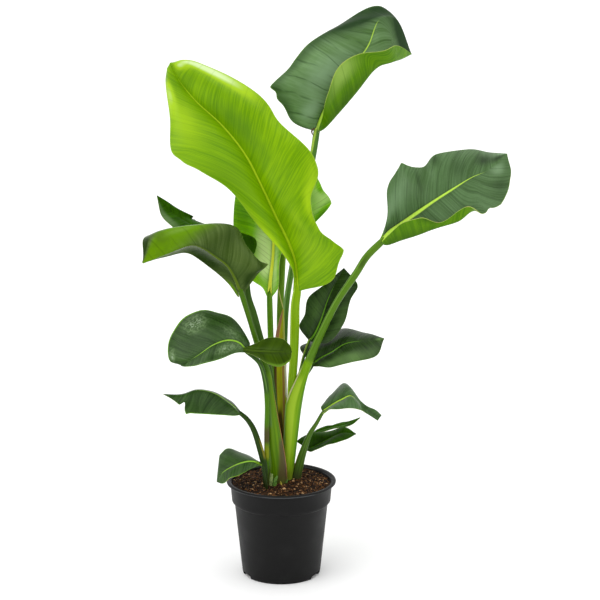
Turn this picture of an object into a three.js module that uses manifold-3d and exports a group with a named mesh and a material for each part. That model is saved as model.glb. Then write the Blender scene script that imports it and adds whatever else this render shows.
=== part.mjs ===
// A bird of paradise plant, about a metre tall, growing in a round nursery pot.
// Millimetres, +Z up. The origin is the middle of the pot's underside.
// The front of the plant looks along -Y.
import * as THREE from 'three';
import { mergeVertices } from 'three/addons/utils/BufferGeometryUtils.js';
import Module from 'manifold-3d';

const wasm = await Module();
wasm.setup();

// ---- Driving dimensions ----------------------------------------------------

const CLEARANCE = 0.3;

const POT_HEIGHT = 186.5;
const RIM_RADIUS = 105;
const COLLAR_TOP_RADIUS = 97.5;
const COLLAR_FOOT_RADIUS = 95;
const COLLAR_FOOT_HEIGHT = 150;
const STEP_RADIUS = 89.5;
const STEP_HEIGHT = 141;
const BASE_RADIUS = 75;
const POT_WALL = 2;
const FLOOR_CORNER = 4;
const POT_SEGMENTS = 48;
const DRAIN_ARCH_ANGLES = [26, 154, 206, 334];
const DRAIN_ARCH_WIDTH = 32;
const DRAIN_ARCH_HEIGHT = 8;
const DRAIN_ARCH_REACH = 8;

const SOIL_EDGE_HEIGHT = 180;
const SOIL_CROWN = 3;
const CLOD_HEIGHT = 1.2;
const SOIL_RINGS = 6;
const SOIL_SEGMENTS = 30;
const ROOT_DEPTH = 24;

const BLADE_THICKNESS = 0.9;
const RIB_DEPTH = 3.2;
const RIB_TAPER = 0.8;
const TIP_HALF_WIDTH = 0.9;
const CUPPING = 0.07;
const ROWS_PER_STATION = 2;
const FLAT_COLUMNS = [0.08, 0.35, 0.68, 1];
const FOLDED_COLUMNS = [0.08, 0.27, 0.45, 0.62, 0.8, 1];
const STALK_SIDES = 10;
const LOBE_NECK_HALF_WIDTH = 4;

const LIME = 0x8cba10;
const DARK_LEAF = 0x3f5f33;
const GREEN_STALK = 0x5f9127;
const LIME_STALK = 0x8cb414;
const SHEATH_BROWN = 0x8a7a3a;
const POT_BLACK = 0x262626;
const SOIL_BROWN = 0x4a2f1d;

// Each leaf: `rib` runs from the stalk to the tip. `left` and `right` are the two margins
// between them, station by station, seen on the upper side with the tip up. A fold is the
// crest that a rolled half passes over on its way to its margin. `stalk` rises from the
// soil, as [x, y, z, half width, half depth], and `neck` is its half width and half depth
// where the blade begins.
const LEAVES = {
  // the great young leaf in front, still lime green
  tall: {
    rib: [
      [30, -6, 559], [26, 0, 613], [13, 8, 652], [-9, 20, 697], [-35, 34, 750], [-67, 52, 809],
      [-110, 72, 860], [-160, 92, 903], [-194, 106, 943], [-206, 104, 974],
    ],
    left: [
      [23, -12, 597], [-1, -14, 638], [-44, -12, 688], [-94, -6, 751], [-149, 0, 787], [-200, 10, 815],
      [-206, 40, 879], [-216, 78, 941],
    ],
    right: [
      [98, -36, 589], [114, -42, 646], [70, -28, 682], [56, -14, 736], [68, -4, 791], [14, 24, 857],
      [-44, 50, 923], [-153, 88, 978],
    ],
    stalk: [
      [18, 12, 293, 6.5, 6], [20, 8, 362, 8, 7], [24, 3, 422, 8.2, 7.6], [26, -2, 482, 8.4, 7.6],
      [28, -5, 530, 8, 7],
    ],
    neck: [6.5, 5.5],
  },
  // the highest leaf, its right half rolled up towards the front
  top: {
    rib: [
      [66, 124, 839], [78, 124, 874], [104, 124, 921], [136, 128, 963], [165, 136, 1003],
      [186, 152, 1049], [219, 180, 1042], [248, 172, 982],
    ],
    left: [
      [36, 130, 851], [6, 140, 885], [-19, 150, 922], [36, 162, 982], [103, 172, 1033],
      [191, 190, 1070],
    ],
    right: [
      [78, 100, 873], [87, 86, 913], [103, 78, 962], [143, 86, 992], [192, 104, 996], [219, 132, 1003],
    ],
    rightFold: [
      [85, 108, 851], [113, 96, 884], [145, 90, 924], [179, 98, 964], [209, 118, 975], [231, 146, 978],
    ],
    stalk: [
      [11, 50, 180, 7, 6.5], [7, 53, 269, 7, 6.5], [3, 60, 357, 6.6, 6.4], [6, 68, 445, 6.2, 6],
      [11, 76, 522, 5.8, 5.6], [26, 90, 617, 5.6, 5.4], [47, 107, 730, 5.4, 5.2],
      [60, 118, 796, 5.6, 5.4],
    ],
    neck: [5.6, 5],
  },
  // the right-hand leaf, its lower margin rolled up
  right: {
    rib: [
      [184, -30, 658], [199, -33, 677], [221, -38, 694], [250, -46, 717], [282, -54, 741],
      [316, -62, 765], [349, -70, 787], [381, -76, 803], [412, -72, 831],
    ],
    left: [
      [197, -18, 709], [198, -2, 756], [225, 10, 795], [265, 12, 792], [290, 14, 816], [347, 4, 826],
      [384, -24, 826],
    ],
    right: [
      [200, -54, 678], [227, -68, 703], [257, -82, 715], [291, -92, 708], [331, -106, 735],
      [381, -116, 737], [417, -104, 788],
    ],
    rightFold: [[198, -49, 657], [225, -62, 669], [263, -78, 686], [300, -90, 704], [332, -100, 719]],
    stalk: [
      [12, 14, 180, 9, 8], [14, 14, 212, 11.5, 10], [17, 12, 251, 13, 11.5], [20, 9, 292, 14.5, 12.5],
      [25, 5, 339, 15.5, 12.5], [38, -1, 384, 11, 10], [52, -6, 421, 8.4, 8], [74, -12, 475, 7, 7],
      [105, -20, 541, 6.5, 6.5], [138, -27, 598, 6, 6], [160, -29, 630, 5.6, 5.6],
    ],
    neck: [5.6, 5],
  },
  // the left-hand leaf, arching over, its near half curled inwards
  left: {
    rib: [
      [-73, -44, 564], [-83, -50, 592], [-97, -57, 619], [-119, -66, 639], [-142, -76, 657],
      [-165, -86, 665], [-204, -104, 654], [-250, -118, 638],
    ],
    left: [
      [-42, -36, 599], [-28, -22, 613], [-61, 4, 622], [-80, 12, 657], [-140, 2, 666],
      [-246, -80, 676],
    ],
    leftFold: [
      [-57, -47, 597], [-46, -42, 615], [-70, -34, 657], [-90, -36, 689], [-143, -50, 695],
      [-221, -98, 688],
    ],
    right: [
      [-79, -36, 555], [-96, -35, 578], [-126, -35, 607], [-151, -42, 628], [-178, -60, 644],
      [-216, -90, 640],
    ],
    stalk: [
      [-4, -8, 175, 16, 11], [-6, -9, 218, 16, 11.5], [-12, -12, 269, 14.5, 11],
      [-17, -17, 318, 11, 9.5], [-21, -22, 361, 8.5, 8], [-27, -28, 411, 6.8, 7],
      [-44, -34, 469, 5.8, 6], [-57, -38, 511, 5.4, 5.6],
    ],
    neck: [5.2, 5.2],
  },
  // behind the left-hand leaf
  left_rear: {
    rib: [
      [-65, 14, 610], [-80, 19, 632], [-109, 26, 650], [-143, 34, 665], [-177, 43, 681],
      [-209, 50, 701], [-235, 50, 726],
    ],
    left: [[-88, 0, 623], [-121, 2, 638], [-159, 8, 652], [-189, 18, 665], [-223, 36, 693]],
    right: [[-48, 24, 629], [-50, 33, 652], [-100, 48, 668], [-160, 58, 679], [-179, 58, 700]],
    stalk: [
      [-8, 14, 176, 9, 8], [-11, 10, 242, 8.5, 8], [-14, 4, 323, 8, 7], [-23, -4, 405, 6.6, 6.4],
      [-37, -10, 467, 5.8, 5.8], [-49, -11, 516, 5.6, 5.6], [-61, -8, 554, 5.4, 5.2],
    ],
    neck: [4.6, 4.6],
  },
  // behind the great leaf, on a straight stalk
  centre: {
    rib: [
      [-22, 34, 538], [-19, 38, 574], [-14, 46, 622], [-15, 56, 670], [-28, 66, 719], [-47, 76, 765],
      [-62, 80, 793],
    ],
    left: [[-55, 36, 568], [-76, 48, 603], [-89, 58, 647], [-89, 64, 704], [-81, 70, 749]],
    right: [[-5, 30, 560], [-2, 32, 614], [13, 38, 655], [17, 48, 713], [-5, 62, 765]],
    stalk: [
      [-5, 40, 184, 7, 6.5], [-8, 38, 253, 6.6, 6.4], [-14, 35, 324, 6, 6], [-18, 33, 394, 5.4, 5.4],
      [-21, 33, 464, 5.1, 5.1],
    ],
    neck: [4.6, 4.6],
  },
  // the rearmost leaf, almost wholly behind the great leaf
  rear: {
    rib: [[4, 66, 630], [11, 74, 655], [23, 88, 691], [30, 100, 727], [32, 108, 761], [25, 110, 791]],
    left: [[-13, 74, 647], [-19, 86, 684], [-14, 98, 724], [2, 108, 765]],
    right: [[42, 62, 646], [95, 78, 710], [69, 94, 756], [46, 104, 783]],
    stalk: [
      [3, 44, 182, 7, 6.5], [0, 43, 272, 7, 6.5], [-1, 44, 362, 6.8, 6.4], [-1, 48, 450, 6.2, 6],
      [0, 55, 527, 5.8, 5.6],
    ],
    neck: [5, 5],
  },
  // left of the stalks at half height, with a lobe folded back across them
  mid_left: {
    rib: [
      [-63, -62, 457], [-77, -66, 475], [-99, -73, 481], [-125, -82, 474], [-149, -90, 459],
      [-169, -94, 447], [-184, -92, 437],
    ],
    left: [[-84, -80, 458], [-110, -94, 451], [-139, -104, 445], [-159, -106, 441], [-174, -102, 438]],
    right: [[-59, -44, 473], [-94, -22, 513], [-151, -22, 526], [-202, -52, 488], [-208, -80, 449]],
    // the folded lobe, joined to the leaf at its neck
    lobe: {
      rib: [
        [-68, -63, 460], [-46, -71, 460], [-23, -76, 460], [-3, -78, 460], [12, -76, 459],
        [21, -73, 459],
      ],
      left: [[-46, -75, 450], [-23, -82, 438], [-1, -84, 433], [17, -79, 443]],
      right: [[-46, -67, 474], [-22, -68, 485], [3, -69, 483], [17, -71, 471]],
    },
    stalk: [
      [-27, -25, 185, 5, 5], [-27, -25, 229, 5.2, 5.2], [-27, -27, 289, 5, 5],
      [-26, -32, 346, 4.8, 4.8], [-30, -41, 395, 4.6, 4.6], [-40, -52, 432, 4.4, 4.4],
    ],
    neck: [4, 4],
  },
  // behind the right-hand stalk
  mid_rear: {
    rib: [[54, 30, 453], [65, 32, 468], [76, 38, 492], [87, 48, 523], [99, 60, 549], [120, 68, 586]],
    left: [[35, 26, 481], [45, 32, 505], [52, 42, 535], [82, 54, 557]],
    right: [[91, 24, 452], [120, 28, 489], [132, 42, 530], [146, 60, 555]],
    stalk: [
      [7, 30, 191, 5, 5], [12, 29, 256, 5, 5], [25, 27, 337, 4.4, 4.4], [37, 27, 394, 3.4, 3.4],
      [44, 28, 425, 3, 3],
    ],
    neck: [3, 3],
  },
  // right of the stalks at half height
  mid_right: {
    rib: [[58, 18, 408], [74, 16, 422], [97, 10, 437], [121, 0, 455], [149, -10, 463], [193, -22, 468]],
    left: [[36, 58, 433], [65, 66, 444], [116, 56, 470], [157, 18, 469]],
    right: [[70, 2, 410], [95, -14, 413], [134, -32, 428], [178, -42, 440]],
    stalk: [[17, 36, 185, 5, 5], [18, 36, 234, 4.6, 4.6], [24, 31, 305, 4.4, 4.4], [36, 26, 363, 4, 4]],
    neck: [3.6, 3.6],
  },
  // low on the left, its near half hanging down
  low_left: {
    rib: [
      [-74, -34, 328], [-96, -42, 351], [-125, -54, 374], [-156, -68, 384], [-186, -80, 378],
      [-218, -86, 381],
    ],
    left: [[-88, -56, 330], [-128, -78, 339], [-174, -94, 348], [-194, -92, 367]],
    right: [[-93, -12, 344], [-125, -8, 357], [-157, -18, 363], [-185, -54, 370]],
    stalk: [
      [-30, -38, 185, 3.6, 3.6], [-31, -36, 217, 4.6, 4.2], [-38, -34, 252, 5, 4.4],
      [-50, -33, 291, 4, 4], [-61, -33, 313, 3.2, 3.2],
    ],
    neck: [2.8, 2.8],
  },
  // the lowest leaf, over the pot's rim
  lowest_left: {
    rib: [
      [-35, -46, 232], [-55, -50, 239], [-75, -55, 237], [-96, -60, 229], [-111, -63, 219],
      [-121, -64, 202],
    ],
    left: [[-55, -60, 228], [-75, -76, 221], [-94, -84, 217], [-109, -76, 203]],
    right: [[-55, -26, 239], [-82, -16, 248], [-106, -18, 253], [-118, -38, 235]],
    stalk: [[-27, -51, 186, 2.4, 2.4], [-30, -50, 205, 2.2, 2.2]],
    neck: [2, 2],
  },
  // low on the right, its tip drooping
  low_right: {
    rib: [
      [78, 4, 319], [97, -2, 335], [116, -10, 349], [134, -20, 358], [155, -28, 345], [182, -36, 311],
    ],
    left: [[77, 14, 329], [95, 26, 347], [122, 30, 369], [141, 0, 356]],
    right: [[89, -14, 329], [111, -34, 337], [143, -50, 342], [168, -46, 325]],
    stalk: [
      [28, 18, 177, 9.5, 8], [36, 16, 216, 8.4, 7], [45, 13, 247, 6.6, 6], [53, 10, 274, 5, 5],
      [66, 7, 299, 3.8, 3.8],
    ],
    neck: [3.2, 3.2],
  },
  // under the low right leaf
  lower_right: {
    rib: [[48, 42, 233], [67, 46, 240], [84, 52, 247], [102, 58, 255], [121, 64, 260], [145, 66, 257]],
    left: [[33, 58, 247], [59, 68, 258], [96, 76, 260], [122, 76, 268]],
    right: [[59, 32, 232], [80, 32, 242], [102, 38, 247], [125, 48, 251]],
    stalk: [[30, 38, 182, 4, 4], [39, 40, 212, 3.4, 3.4]],
    neck: [2.8, 2.8],
  },
  // the narrow young leaf between the two low right ones
  narrow_right: {
    rib: [[61, 88, 251], [79, 92, 257], [100, 98, 261], [126, 104, 265], [154, 106, 278]],
    left: [[73, 96, 259], [99, 104, 265], [124, 110, 267]],
    right: [[77, 86, 254], [102, 90, 260], [134, 98, 264]],
    stalk: [[32, 58, 180, 3, 3], [44, 76, 221, 2.6, 2.6]],
    neck: [2.2, 2.2],
  },
};

// The withered sheath round the feet of the central stalks, ending in a point.
const SHEATH = [
  [1, 30, 187, 10, 9], [0, 28, 276, 10.5, 9.5], [-1, 30, 366, 11, 10], [-2, 34, 453, 9.5, 9],
  [1, 38, 488, 5.5, 6], [4, 42, 512, 1.2, 1.5],
];

// ---- Curves ------------------------------------------------------------------

const vector = (point) => new THREE.Vector3(...point);
const curve = (points) => new THREE.CatmullRomCurve3(points, false, 'catmullrom', 0.5);

// ---- Solids --------------------------------------------------------------------

function toSolid(geometry) {
  const bare = geometry.clone();
  bare.deleteAttribute('normal');
  bare.deleteAttribute('uv');
  const merged = mergeVertices(bare, 1e-3);
  return new wasm.Manifold(new wasm.Mesh({
    numProp: 3,
    vertProperties: new Float32Array(merged.attributes.position.array),
    triVerts: new Uint32Array(merged.index.array),
  }));
}

function toGeometry(solid) {
  const mesh = solid.getMesh();
  const geometry = new THREE.BufferGeometry();
  geometry.setAttribute('position', new THREE.BufferAttribute(mesh.vertProperties, 3));
  geometry.setIndex(new THREE.BufferAttribute(mesh.triVerts, 1));
  return geometry;
}

// A cut can leave small scraps beside the piece itself.
function largestPiece(solid) {
  return solid.decompose().reduce((a, b) => (a.volume() > b.volume() ? a : b));
}

function boxesMeet(a, b) {
  const boxA = a.boundingBox();
  const boxB = b.boundingBox();
  return [0, 1, 2].every((i) => boxA.min[i] < boxB.max[i] && boxB.min[i] < boxA.max[i]);
}

// ---- Blades --------------------------------------------------------------------

// The frame at one end of the rib, 0 for the stalk's and -1 for the tip's: along the rib,
// across the blade, and out of its upper side.
function ribFrame(leaf, end = 0) {
  const origin = vector(leaf.rib.at(end));
  const along = curve(leaf.rib.map(vector)).getTangent(end === 0 ? 0 : 1);
  const across = vector(leaf.right.at(end)).sub(vector(leaf.left.at(end)));
  across.addScaledVector(along, -across.dot(along)).normalize();
  const up = new THREE.Vector3().crossVectors(across, along);
  return { origin, along, across, up };
}

// The lines that a half of the blade is stretched over, from the rib to the margin.
function halfGuides(leaf, margin, fold, side) {
  const base = ribFrame(leaf);
  const tip = ribFrame(leaf, -1);
  const neckHalfWidth = leaf.neck ? leaf.neck[0] : LOBE_NECK_HALF_WIDTH;
  const start = base.origin.clone().addScaledVector(base.across, side * neckHalfWidth);
  const finish = tip.origin.clone().addScaledVector(tip.across, side * TIP_HALF_WIDTH);
  const guides = [curve([start, ...margin.map(vector), finish])];
  if (fold) {
    const first = base.origin.clone().lerp(start, 0.5);
    const last = tip.origin.clone().lerp(finish, 0.5);
    const crest = fold.map(vector);
    while (crest.length < margin.length) {
      const station = crest.length;
      crest.push(vector(leaf.rib[station + 1]).lerp(vector(margin[station]), 0.5));
    }
    guides.unshift(curve([first, ...crest, last]));
  }
  return guides;
}

// A grid of points over the blade's upper side, row by row from base to tip.
function bladeGrid(leaf) {
  const rib = curve(leaf.rib.map(vector));
  const halves = [
    { side: -1, folded: leaf.leftFold, guides: halfGuides(leaf, leaf.left, leaf.leftFold, -1) },
    { side: 1, folded: leaf.rightFold, guides: halfGuides(leaf, leaf.right, leaf.rightFold, 1) },
  ];
  const rows = (leaf.rib.length - 1) * ROWS_PER_STATION;
  const grid = [];
  for (let i = 0; i <= rows; i += 1) {
    const s = i / rows;
    const centre = rib.getPoint(s);
    const [leftPoints, rightPoints] = halves.map(({ side, folded, guides }) => {
      const edge = guides.at(-1).getPoint(s);
      const width = edge.distanceTo(centre);
      const up = new THREE.Vector3()
        .crossVectors(edge.clone().sub(centre).multiplyScalar(side), rib.getTangent(s))
        .normalize();
      const section = curve([centre, ...guides.map((guide) => guide.getPoint(s))]);
      return (folded ? FOLDED_COLUMNS : FLAT_COLUMNS).map((t) => {
        const bulge = folded ? 0 : CUPPING * width * 4 * t * (1 - t);
        return section.getPoint(t).addScaledVector(up, bulge);
      });
    });
    grid.push([...leftPoints.reverse(), centre, ...rightPoints]);
  }
  return { grid, ribColumn: (leaf.leftFold ? FOLDED_COLUMNS : FLAT_COLUMNS).length };
}

// The direction out of the upper side at each point of the grid.
function gridNormals(grid, base) {
  const lastRow = grid.length - 1;
  const lastColumn = grid[0].length - 1;
  return grid.map((row, i) => row.map((point, j) => {
    if (i === 0) return base.up.clone();
    const along = grid[Math.min(i + 1, lastRow)][j].clone().sub(grid[i - 1][j]);
    const across = row[Math.min(j + 1, lastColumn)].clone().sub(row[Math.max(j - 1, 0)]);
    return new THREE.Vector3().crossVectors(across, along).normalize();
  }));
}

// A closed thin body: the upper side, the underside with its midrib, and the edge between.
function bladeGeometry(leaf) {
  const { grid, ribColumn } = bladeGrid(leaf);
  const normals = gridNormals(grid, ribFrame(leaf));
  const rows = grid.length - 1;
  const columns = grid[0].length - 1;
  const positions = [];
  const thickness = (i, j) => {
    const ridge = j === ribColumn ? RIB_DEPTH * (1 - RIB_TAPER * (i / rows)) : 0;
    return BLADE_THICKNESS + ridge;
  };
  grid.forEach((row) => row.forEach((point) => positions.push(...point.toArray())));
  grid.forEach((row, i) => row.forEach((point, j) => {
    positions.push(...point.clone().addScaledVector(normals[i][j], -thickness(i, j)).toArray());
  }));
  const upper = (i, j) => i * (columns + 1) + j;
  const under = (i, j) => (rows + 1) * (columns + 1) + upper(i, j);
  const index = [];
  const quad = (a, b, c, d) => index.push(a, b, c, a, c, d);
  for (let i = 0; i < rows; i += 1) {
    for (let j = 0; j < columns; j += 1) {
      quad(upper(i, j), upper(i, j + 1), upper(i + 1, j + 1), upper(i + 1, j));
      index.push(under(i, j), under(i + 1, j + 1), under(i, j + 1));
      index.push(under(i, j), under(i + 1, j), under(i + 1, j + 1));
    }
    quad(upper(i, columns), under(i, columns), under(i + 1, columns), upper(i + 1, columns));
    quad(under(i, 0), upper(i, 0), upper(i + 1, 0), under(i + 1, 0));
  }
  for (let j = 0; j < columns; j += 1) {
    quad(upper(rows, j), upper(rows, j + 1), under(rows, j + 1), under(rows, j));
    quad(under(0, j), under(0, j + 1), upper(0, j + 1), upper(0, j));
  }
  const geometry = new THREE.BufferGeometry();
  geometry.setAttribute('position', new THREE.Float32BufferAttribute(positions, 3));
  geometry.setIndex(index);
  return geometry;
}

// ---- Stalks --------------------------------------------------------------------

// A tube of oval sections along `stations` of [x, y, z, half width, half depth].
// The half width is measured in the plant's front view. The last section squares up to
// `endDirection`. `grow` thickens the tube and sinks its foot.
function stalkGeometry(stations, endDirection, grow = 0) {
  const route = curve(stations.map(([x, y, z], i) => vector([x, y, i === 0 ? z - grow : z])));
  const sizes = curve(stations.map(([, , , width, depth]) => new THREE.Vector3(width, depth, 0)));
  const rows = (stations.length - 1) * ROWS_PER_STATION;
  const geometry = new THREE.CylinderGeometry(1, 1, 1, STALK_SIDES, rows);
  const position = geometry.attributes.position;
  const front = new THREE.Vector3(0, 1, 0);
  for (let i = 0; i < position.count; i += 1) {
    const s = position.getY(i) + 0.5;
    const along = s > 1 - 1e-6 && endDirection ? endDirection : route.getTangent(s);
    const side = new THREE.Vector3().crossVectors(front, along).normalize();
    const depthAxis = new THREE.Vector3().crossVectors(side, along);
    const size = sizes.getPoint(s);
    const point = route.getPoint(s)
      .addScaledVector(side, position.getX(i) * (size.x + grow))
      .addScaledVector(depthAxis, position.getZ(i) * (size.y + grow));
    position.setXYZ(i, ...point.toArray());
  }
  return geometry;
}

// The stalk's own stations, with its foot in the soil and its top just under the blade.
function stalkStations(leaf) {
  const [x, y, z, width, depth] = leaf.stalk[0];
  const base = ribFrame(leaf);
  const top = base.origin.clone()
    .addScaledVector(base.along, -CLEARANCE)
    .addScaledVector(base.up, -(BLADE_THICKNESS + RIB_DEPTH) / 2);
  return [
    [x, y, z - ROOT_DEPTH, width, depth],
    ...leaf.stalk,
    [...top.toArray(), ...leaf.neck],
  ];
}

// ---- Pot and soil ----------------------------------------------------------------

const potInnerRadius = (z) => BASE_RADIUS - POT_WALL
  + (STEP_RADIUS - BASE_RADIUS) * Math.min(1, Math.max(0, z) / STEP_HEIGHT);

function lathe(profile, segments) {
  const points = profile.map(([radius, z]) => new THREE.Vector2(radius, z));
  return new THREE.LatheGeometry(points, segments).rotateX(Math.PI / 2);
}

function potGeometry() {
  const profile = [
    [0, 0],
    [BASE_RADIUS - 3.5, 0],
    [BASE_RADIUS - 0.8, 2],
    [BASE_RADIUS + 0.6, 7],
    [STEP_RADIUS, STEP_HEIGHT],
    [COLLAR_FOOT_RADIUS - 1, STEP_HEIGHT + 4],
    [COLLAR_FOOT_RADIUS, COLLAR_FOOT_HEIGHT],
    [COLLAR_TOP_RADIUS, POT_HEIGHT - 5.5],
    [RIM_RADIUS - 0.6, POT_HEIGHT - 4.6],
    [RIM_RADIUS, POT_HEIGHT - 2],
    [RIM_RADIUS - 1.6, POT_HEIGHT],
    [COLLAR_TOP_RADIUS + 1.6, POT_HEIGHT],
    [COLLAR_TOP_RADIUS - POT_WALL, POT_HEIGHT - 4],
    [COLLAR_FOOT_RADIUS - POT_WALL, COLLAR_FOOT_HEIGHT],
    [potInnerRadius(STEP_HEIGHT), STEP_HEIGHT],
    [potInnerRadius(0), POT_WALL + FLOOR_CORNER],
    [potInnerRadius(0) - FLOOR_CORNER, POT_WALL],
    [0, POT_WALL],
  ];
  let pot = toSolid(lathe(profile, POT_SEGMENTS));
  for (const angle of DRAIN_ARCH_ANGLES) {
    const arch = new THREE.BoxGeometry(
      2 * DRAIN_ARCH_REACH,
      DRAIN_ARCH_WIDTH,
      2 * DRAIN_ARCH_HEIGHT,
    )
      .translate(BASE_RADIUS, 0, 0)
      .rotateZ(THREE.MathUtils.degToRad(angle));
    pot = pot.subtract(toSolid(arch));
  }
  return toGeometry(pot);
}

// Crumbs and dips of the potting mix.
const clods = (x, y) => CLOD_HEIGHT * (Math.sin(0.31 * x + 1.2) * Math.sin(0.27 * y + 0.4)
  + 0.6 * Math.sin(0.71 * x - 0.53 * y));

// The filling follows the pot's inside, a clearance away from it.
function soilGeometry(stalkHoles) {
  const topRadius = COLLAR_TOP_RADIUS - POT_WALL - 3 * CLEARANCE;
  const profile = [
    [0, POT_WALL + CLEARANCE],
    [potInnerRadius(0) - FLOOR_CORNER - CLEARANCE, POT_WALL + CLEARANCE],
    [potInnerRadius(0) - CLEARANCE, POT_WALL + FLOOR_CORNER + CLEARANCE],
    [potInnerRadius(STEP_HEIGHT) - CLEARANCE, STEP_HEIGHT],
    [COLLAR_FOOT_RADIUS - POT_WALL - CLEARANCE, COLLAR_FOOT_HEIGHT],
  ];
  for (let ring = SOIL_RINGS; ring >= 0; ring -= 1) {
    const share = ring / SOIL_RINGS;
    profile.push([topRadius * share, SOIL_EDGE_HEIGHT + SOIL_CROWN * (1 - share ** 2)]);
  }
  const geometry = lathe(profile, SOIL_SEGMENTS);
  const position = geometry.attributes.position;
  for (let i = 0; i < position.count; i += 1) {
    const x = position.getX(i);
    const y = position.getY(i);
    const z = position.getZ(i);
    const isInsideTop = z > COLLAR_FOOT_HEIGHT + 1 && Math.hypot(x, y) < topRadius - 1;
    if (isInsideTop) position.setZ(i, z + clods(x, y));
  }
  let soil = toSolid(geometry);
  for (const hole of stalkHoles) soil = soil.subtract(hole);
  return toGeometry(largestPiece(soil));
}

// ---- The plant -------------------------------------------------------------------

const plant = new THREE.Group();

function addPiece(name, geometry, color, roughness) {
  const material = new THREE.MeshStandardMaterial({ color, roughness, metalness: 0 });
  const mesh = new THREE.Mesh(geometry, material);
  mesh.name = name;
  plant.add(mesh);
}

// Stalks nearer the front keep their shape, and those behind are pressed in by them.
const STALK_ORDER = [
  'mid_left', 'lowest_left', 'low_left', 'low_right', 'left', 'tall', 'right', 'sheath',
  'left_rear', 'mid_right', 'mid_rear', 'lower_right', 'narrow_right', 'centre', 'rear', 'top',
];

const [sheathX, sheathY, sheathZ, ...sheathSize] = SHEATH[0];
const sheathStations = [[sheathX, sheathY, sheathZ - ROOT_DEPTH, ...sheathSize], ...SHEATH];

const cutters = [];
for (const name of STALK_ORDER) {
  const leaf = LEAVES[name];
  const stations = leaf ? stalkStations(leaf) : sheathStations;
  const direction = leaf ? ribFrame(leaf).along : undefined;
  let solid = toSolid(stalkGeometry(stations, direction));
  for (const cutter of cutters) {
    if (boxesMeet(solid, cutter)) solid = solid.subtract(cutter);
  }
  cutters.push(toSolid(stalkGeometry(stations, direction, CLEARANCE)));
  const color = { tall: LIME_STALK, sheath: SHEATH_BROWN }[name] ?? GREEN_STALK;
  addPiece(leaf ? `stalk_${name}` : 'sheath_centre', toGeometry(largestPiece(solid)), color, 0.5);
}

for (const name of STALK_ORDER) {
  const leaf = LEAVES[name];
  if (!leaf) continue;
  let geometry = bladeGeometry(leaf);
  if (leaf.lobe) {
    const lobe = toSolid(bladeGeometry(leaf.lobe));
    const stalkRoom = cutters[STALK_ORDER.indexOf(name)];
    geometry = toGeometry(largestPiece(toSolid(geometry).add(lobe).subtract(stalkRoom)));
  }
  addPiece(`blade_${name}`, geometry, name === 'tall' ? LIME : DARK_LEAF, 0.45);
}

addPiece('soil', soilGeometry(cutters), SOIL_BROWN, 0.95);
addPiece('pot', potGeometry(), POT_BLACK, 0.6);

export default plant;
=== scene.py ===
# %% [markdown]
# # A bird of paradise plant in its nursery pot
#
# The plant is a fan of fleshy stalks that rise from the soil and each carry one broad, leathery
# paddle. Everything that grows is made the same way: a flat grid is bent into place by a formula
# that follows a few guide points. The CAD model holds nearly the same guide points, so each blade
# here lies where its solid does, with more rows, a real edge, a midrib, ripples and veins.

# %% Load the CAD frame
import math
import random

import bmesh
import bpy
from mathutils import Matrix, Vector, noise, kdtree


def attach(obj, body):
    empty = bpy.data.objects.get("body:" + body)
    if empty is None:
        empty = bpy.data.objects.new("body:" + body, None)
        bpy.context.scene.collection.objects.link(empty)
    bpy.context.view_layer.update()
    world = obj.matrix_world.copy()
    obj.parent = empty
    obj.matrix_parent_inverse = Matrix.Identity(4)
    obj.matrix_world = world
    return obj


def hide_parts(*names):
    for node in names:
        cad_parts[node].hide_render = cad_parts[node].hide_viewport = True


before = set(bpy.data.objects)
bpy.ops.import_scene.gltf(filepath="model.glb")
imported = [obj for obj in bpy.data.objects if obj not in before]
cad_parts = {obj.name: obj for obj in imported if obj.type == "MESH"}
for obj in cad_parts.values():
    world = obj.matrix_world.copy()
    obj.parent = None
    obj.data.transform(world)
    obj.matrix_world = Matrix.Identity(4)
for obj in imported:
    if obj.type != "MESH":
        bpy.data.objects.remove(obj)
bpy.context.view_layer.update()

# %% [markdown]
# ## Camera
#
# The camera stands four metres away and a little above the top leaf, and looks down through a
# long lens, so that the upright stalks stay parallel. A lens of 131 mm on a 36 mm sensor gives
# a view of 15.6 degrees.

# %% Camera
CAMERA_PLACE = (0.036, -4.0, 1.510)
CAMERA_DIP = math.radians(13.63)
SENSOR_WIDTH = 36
LENS = 131.34
FARTHEST_SEEN = 60

camera_data = bpy.data.cameras.new("camera")
camera_data.sensor_width = SENSOR_WIDTH
camera_data.lens = LENS
camera_data.clip_end = FARTHEST_SEEN
camera = bpy.data.objects.new("camera", camera_data)
camera.location = CAMERA_PLACE
camera.rotation_euler = (math.pi / 2 - CAMERA_DIP, 0, 0)
bpy.context.scene.collection.objects.link(camera)
bpy.context.scene.camera = camera
print("lens", round(camera_data.lens, 1), "mm")

# %% [markdown]
# ## Colours and node helpers
#
# Colours are written as eight-bit screen values, the way a photograph shows them, so one helper
# turns them into the linear values that a shader works in. The others add a node, set its values
# and link its inputs in one call, which keeps the material cells short.


# %% Helpers for materials
def colour(red, green, blue):
    """A screen colour, 0 to 255, as linear RGBA."""
    channels = []
    for value in (red, green, blue):
        share = value / 255
        linear = share / 12.92 if share <= 0.04045 else ((share + 0.055) / 1.055) ** 2.4
        channels.append(linear)
    return (*channels, 1.0)


def set_inputs(tree, node, inputs):
    """Gives each input, by its name or number, a value or a link from a socket."""
    for key, value in inputs.items():
        if isinstance(value, bpy.types.NodeSocket):
            tree.links.new(value, node.inputs[key])
        else:
            node.inputs[key].default_value = value


def add_node(tree, kind, inputs=None, **settings):
    """A node of that kind with its settings and inputs."""
    node = tree.nodes.new("ShaderNode" + kind)
    for key, value in settings.items():
        setattr(node, key, value)
    set_inputs(tree, node, inputs or {})
    return node


def mix_colours(tree, share, first, second):
    """The colour output of a Mix node between two colours or sockets."""
    return add_node(tree, "Mix", {0: share, 6: first, 7: second}, data_type="RGBA").outputs[2]


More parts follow.
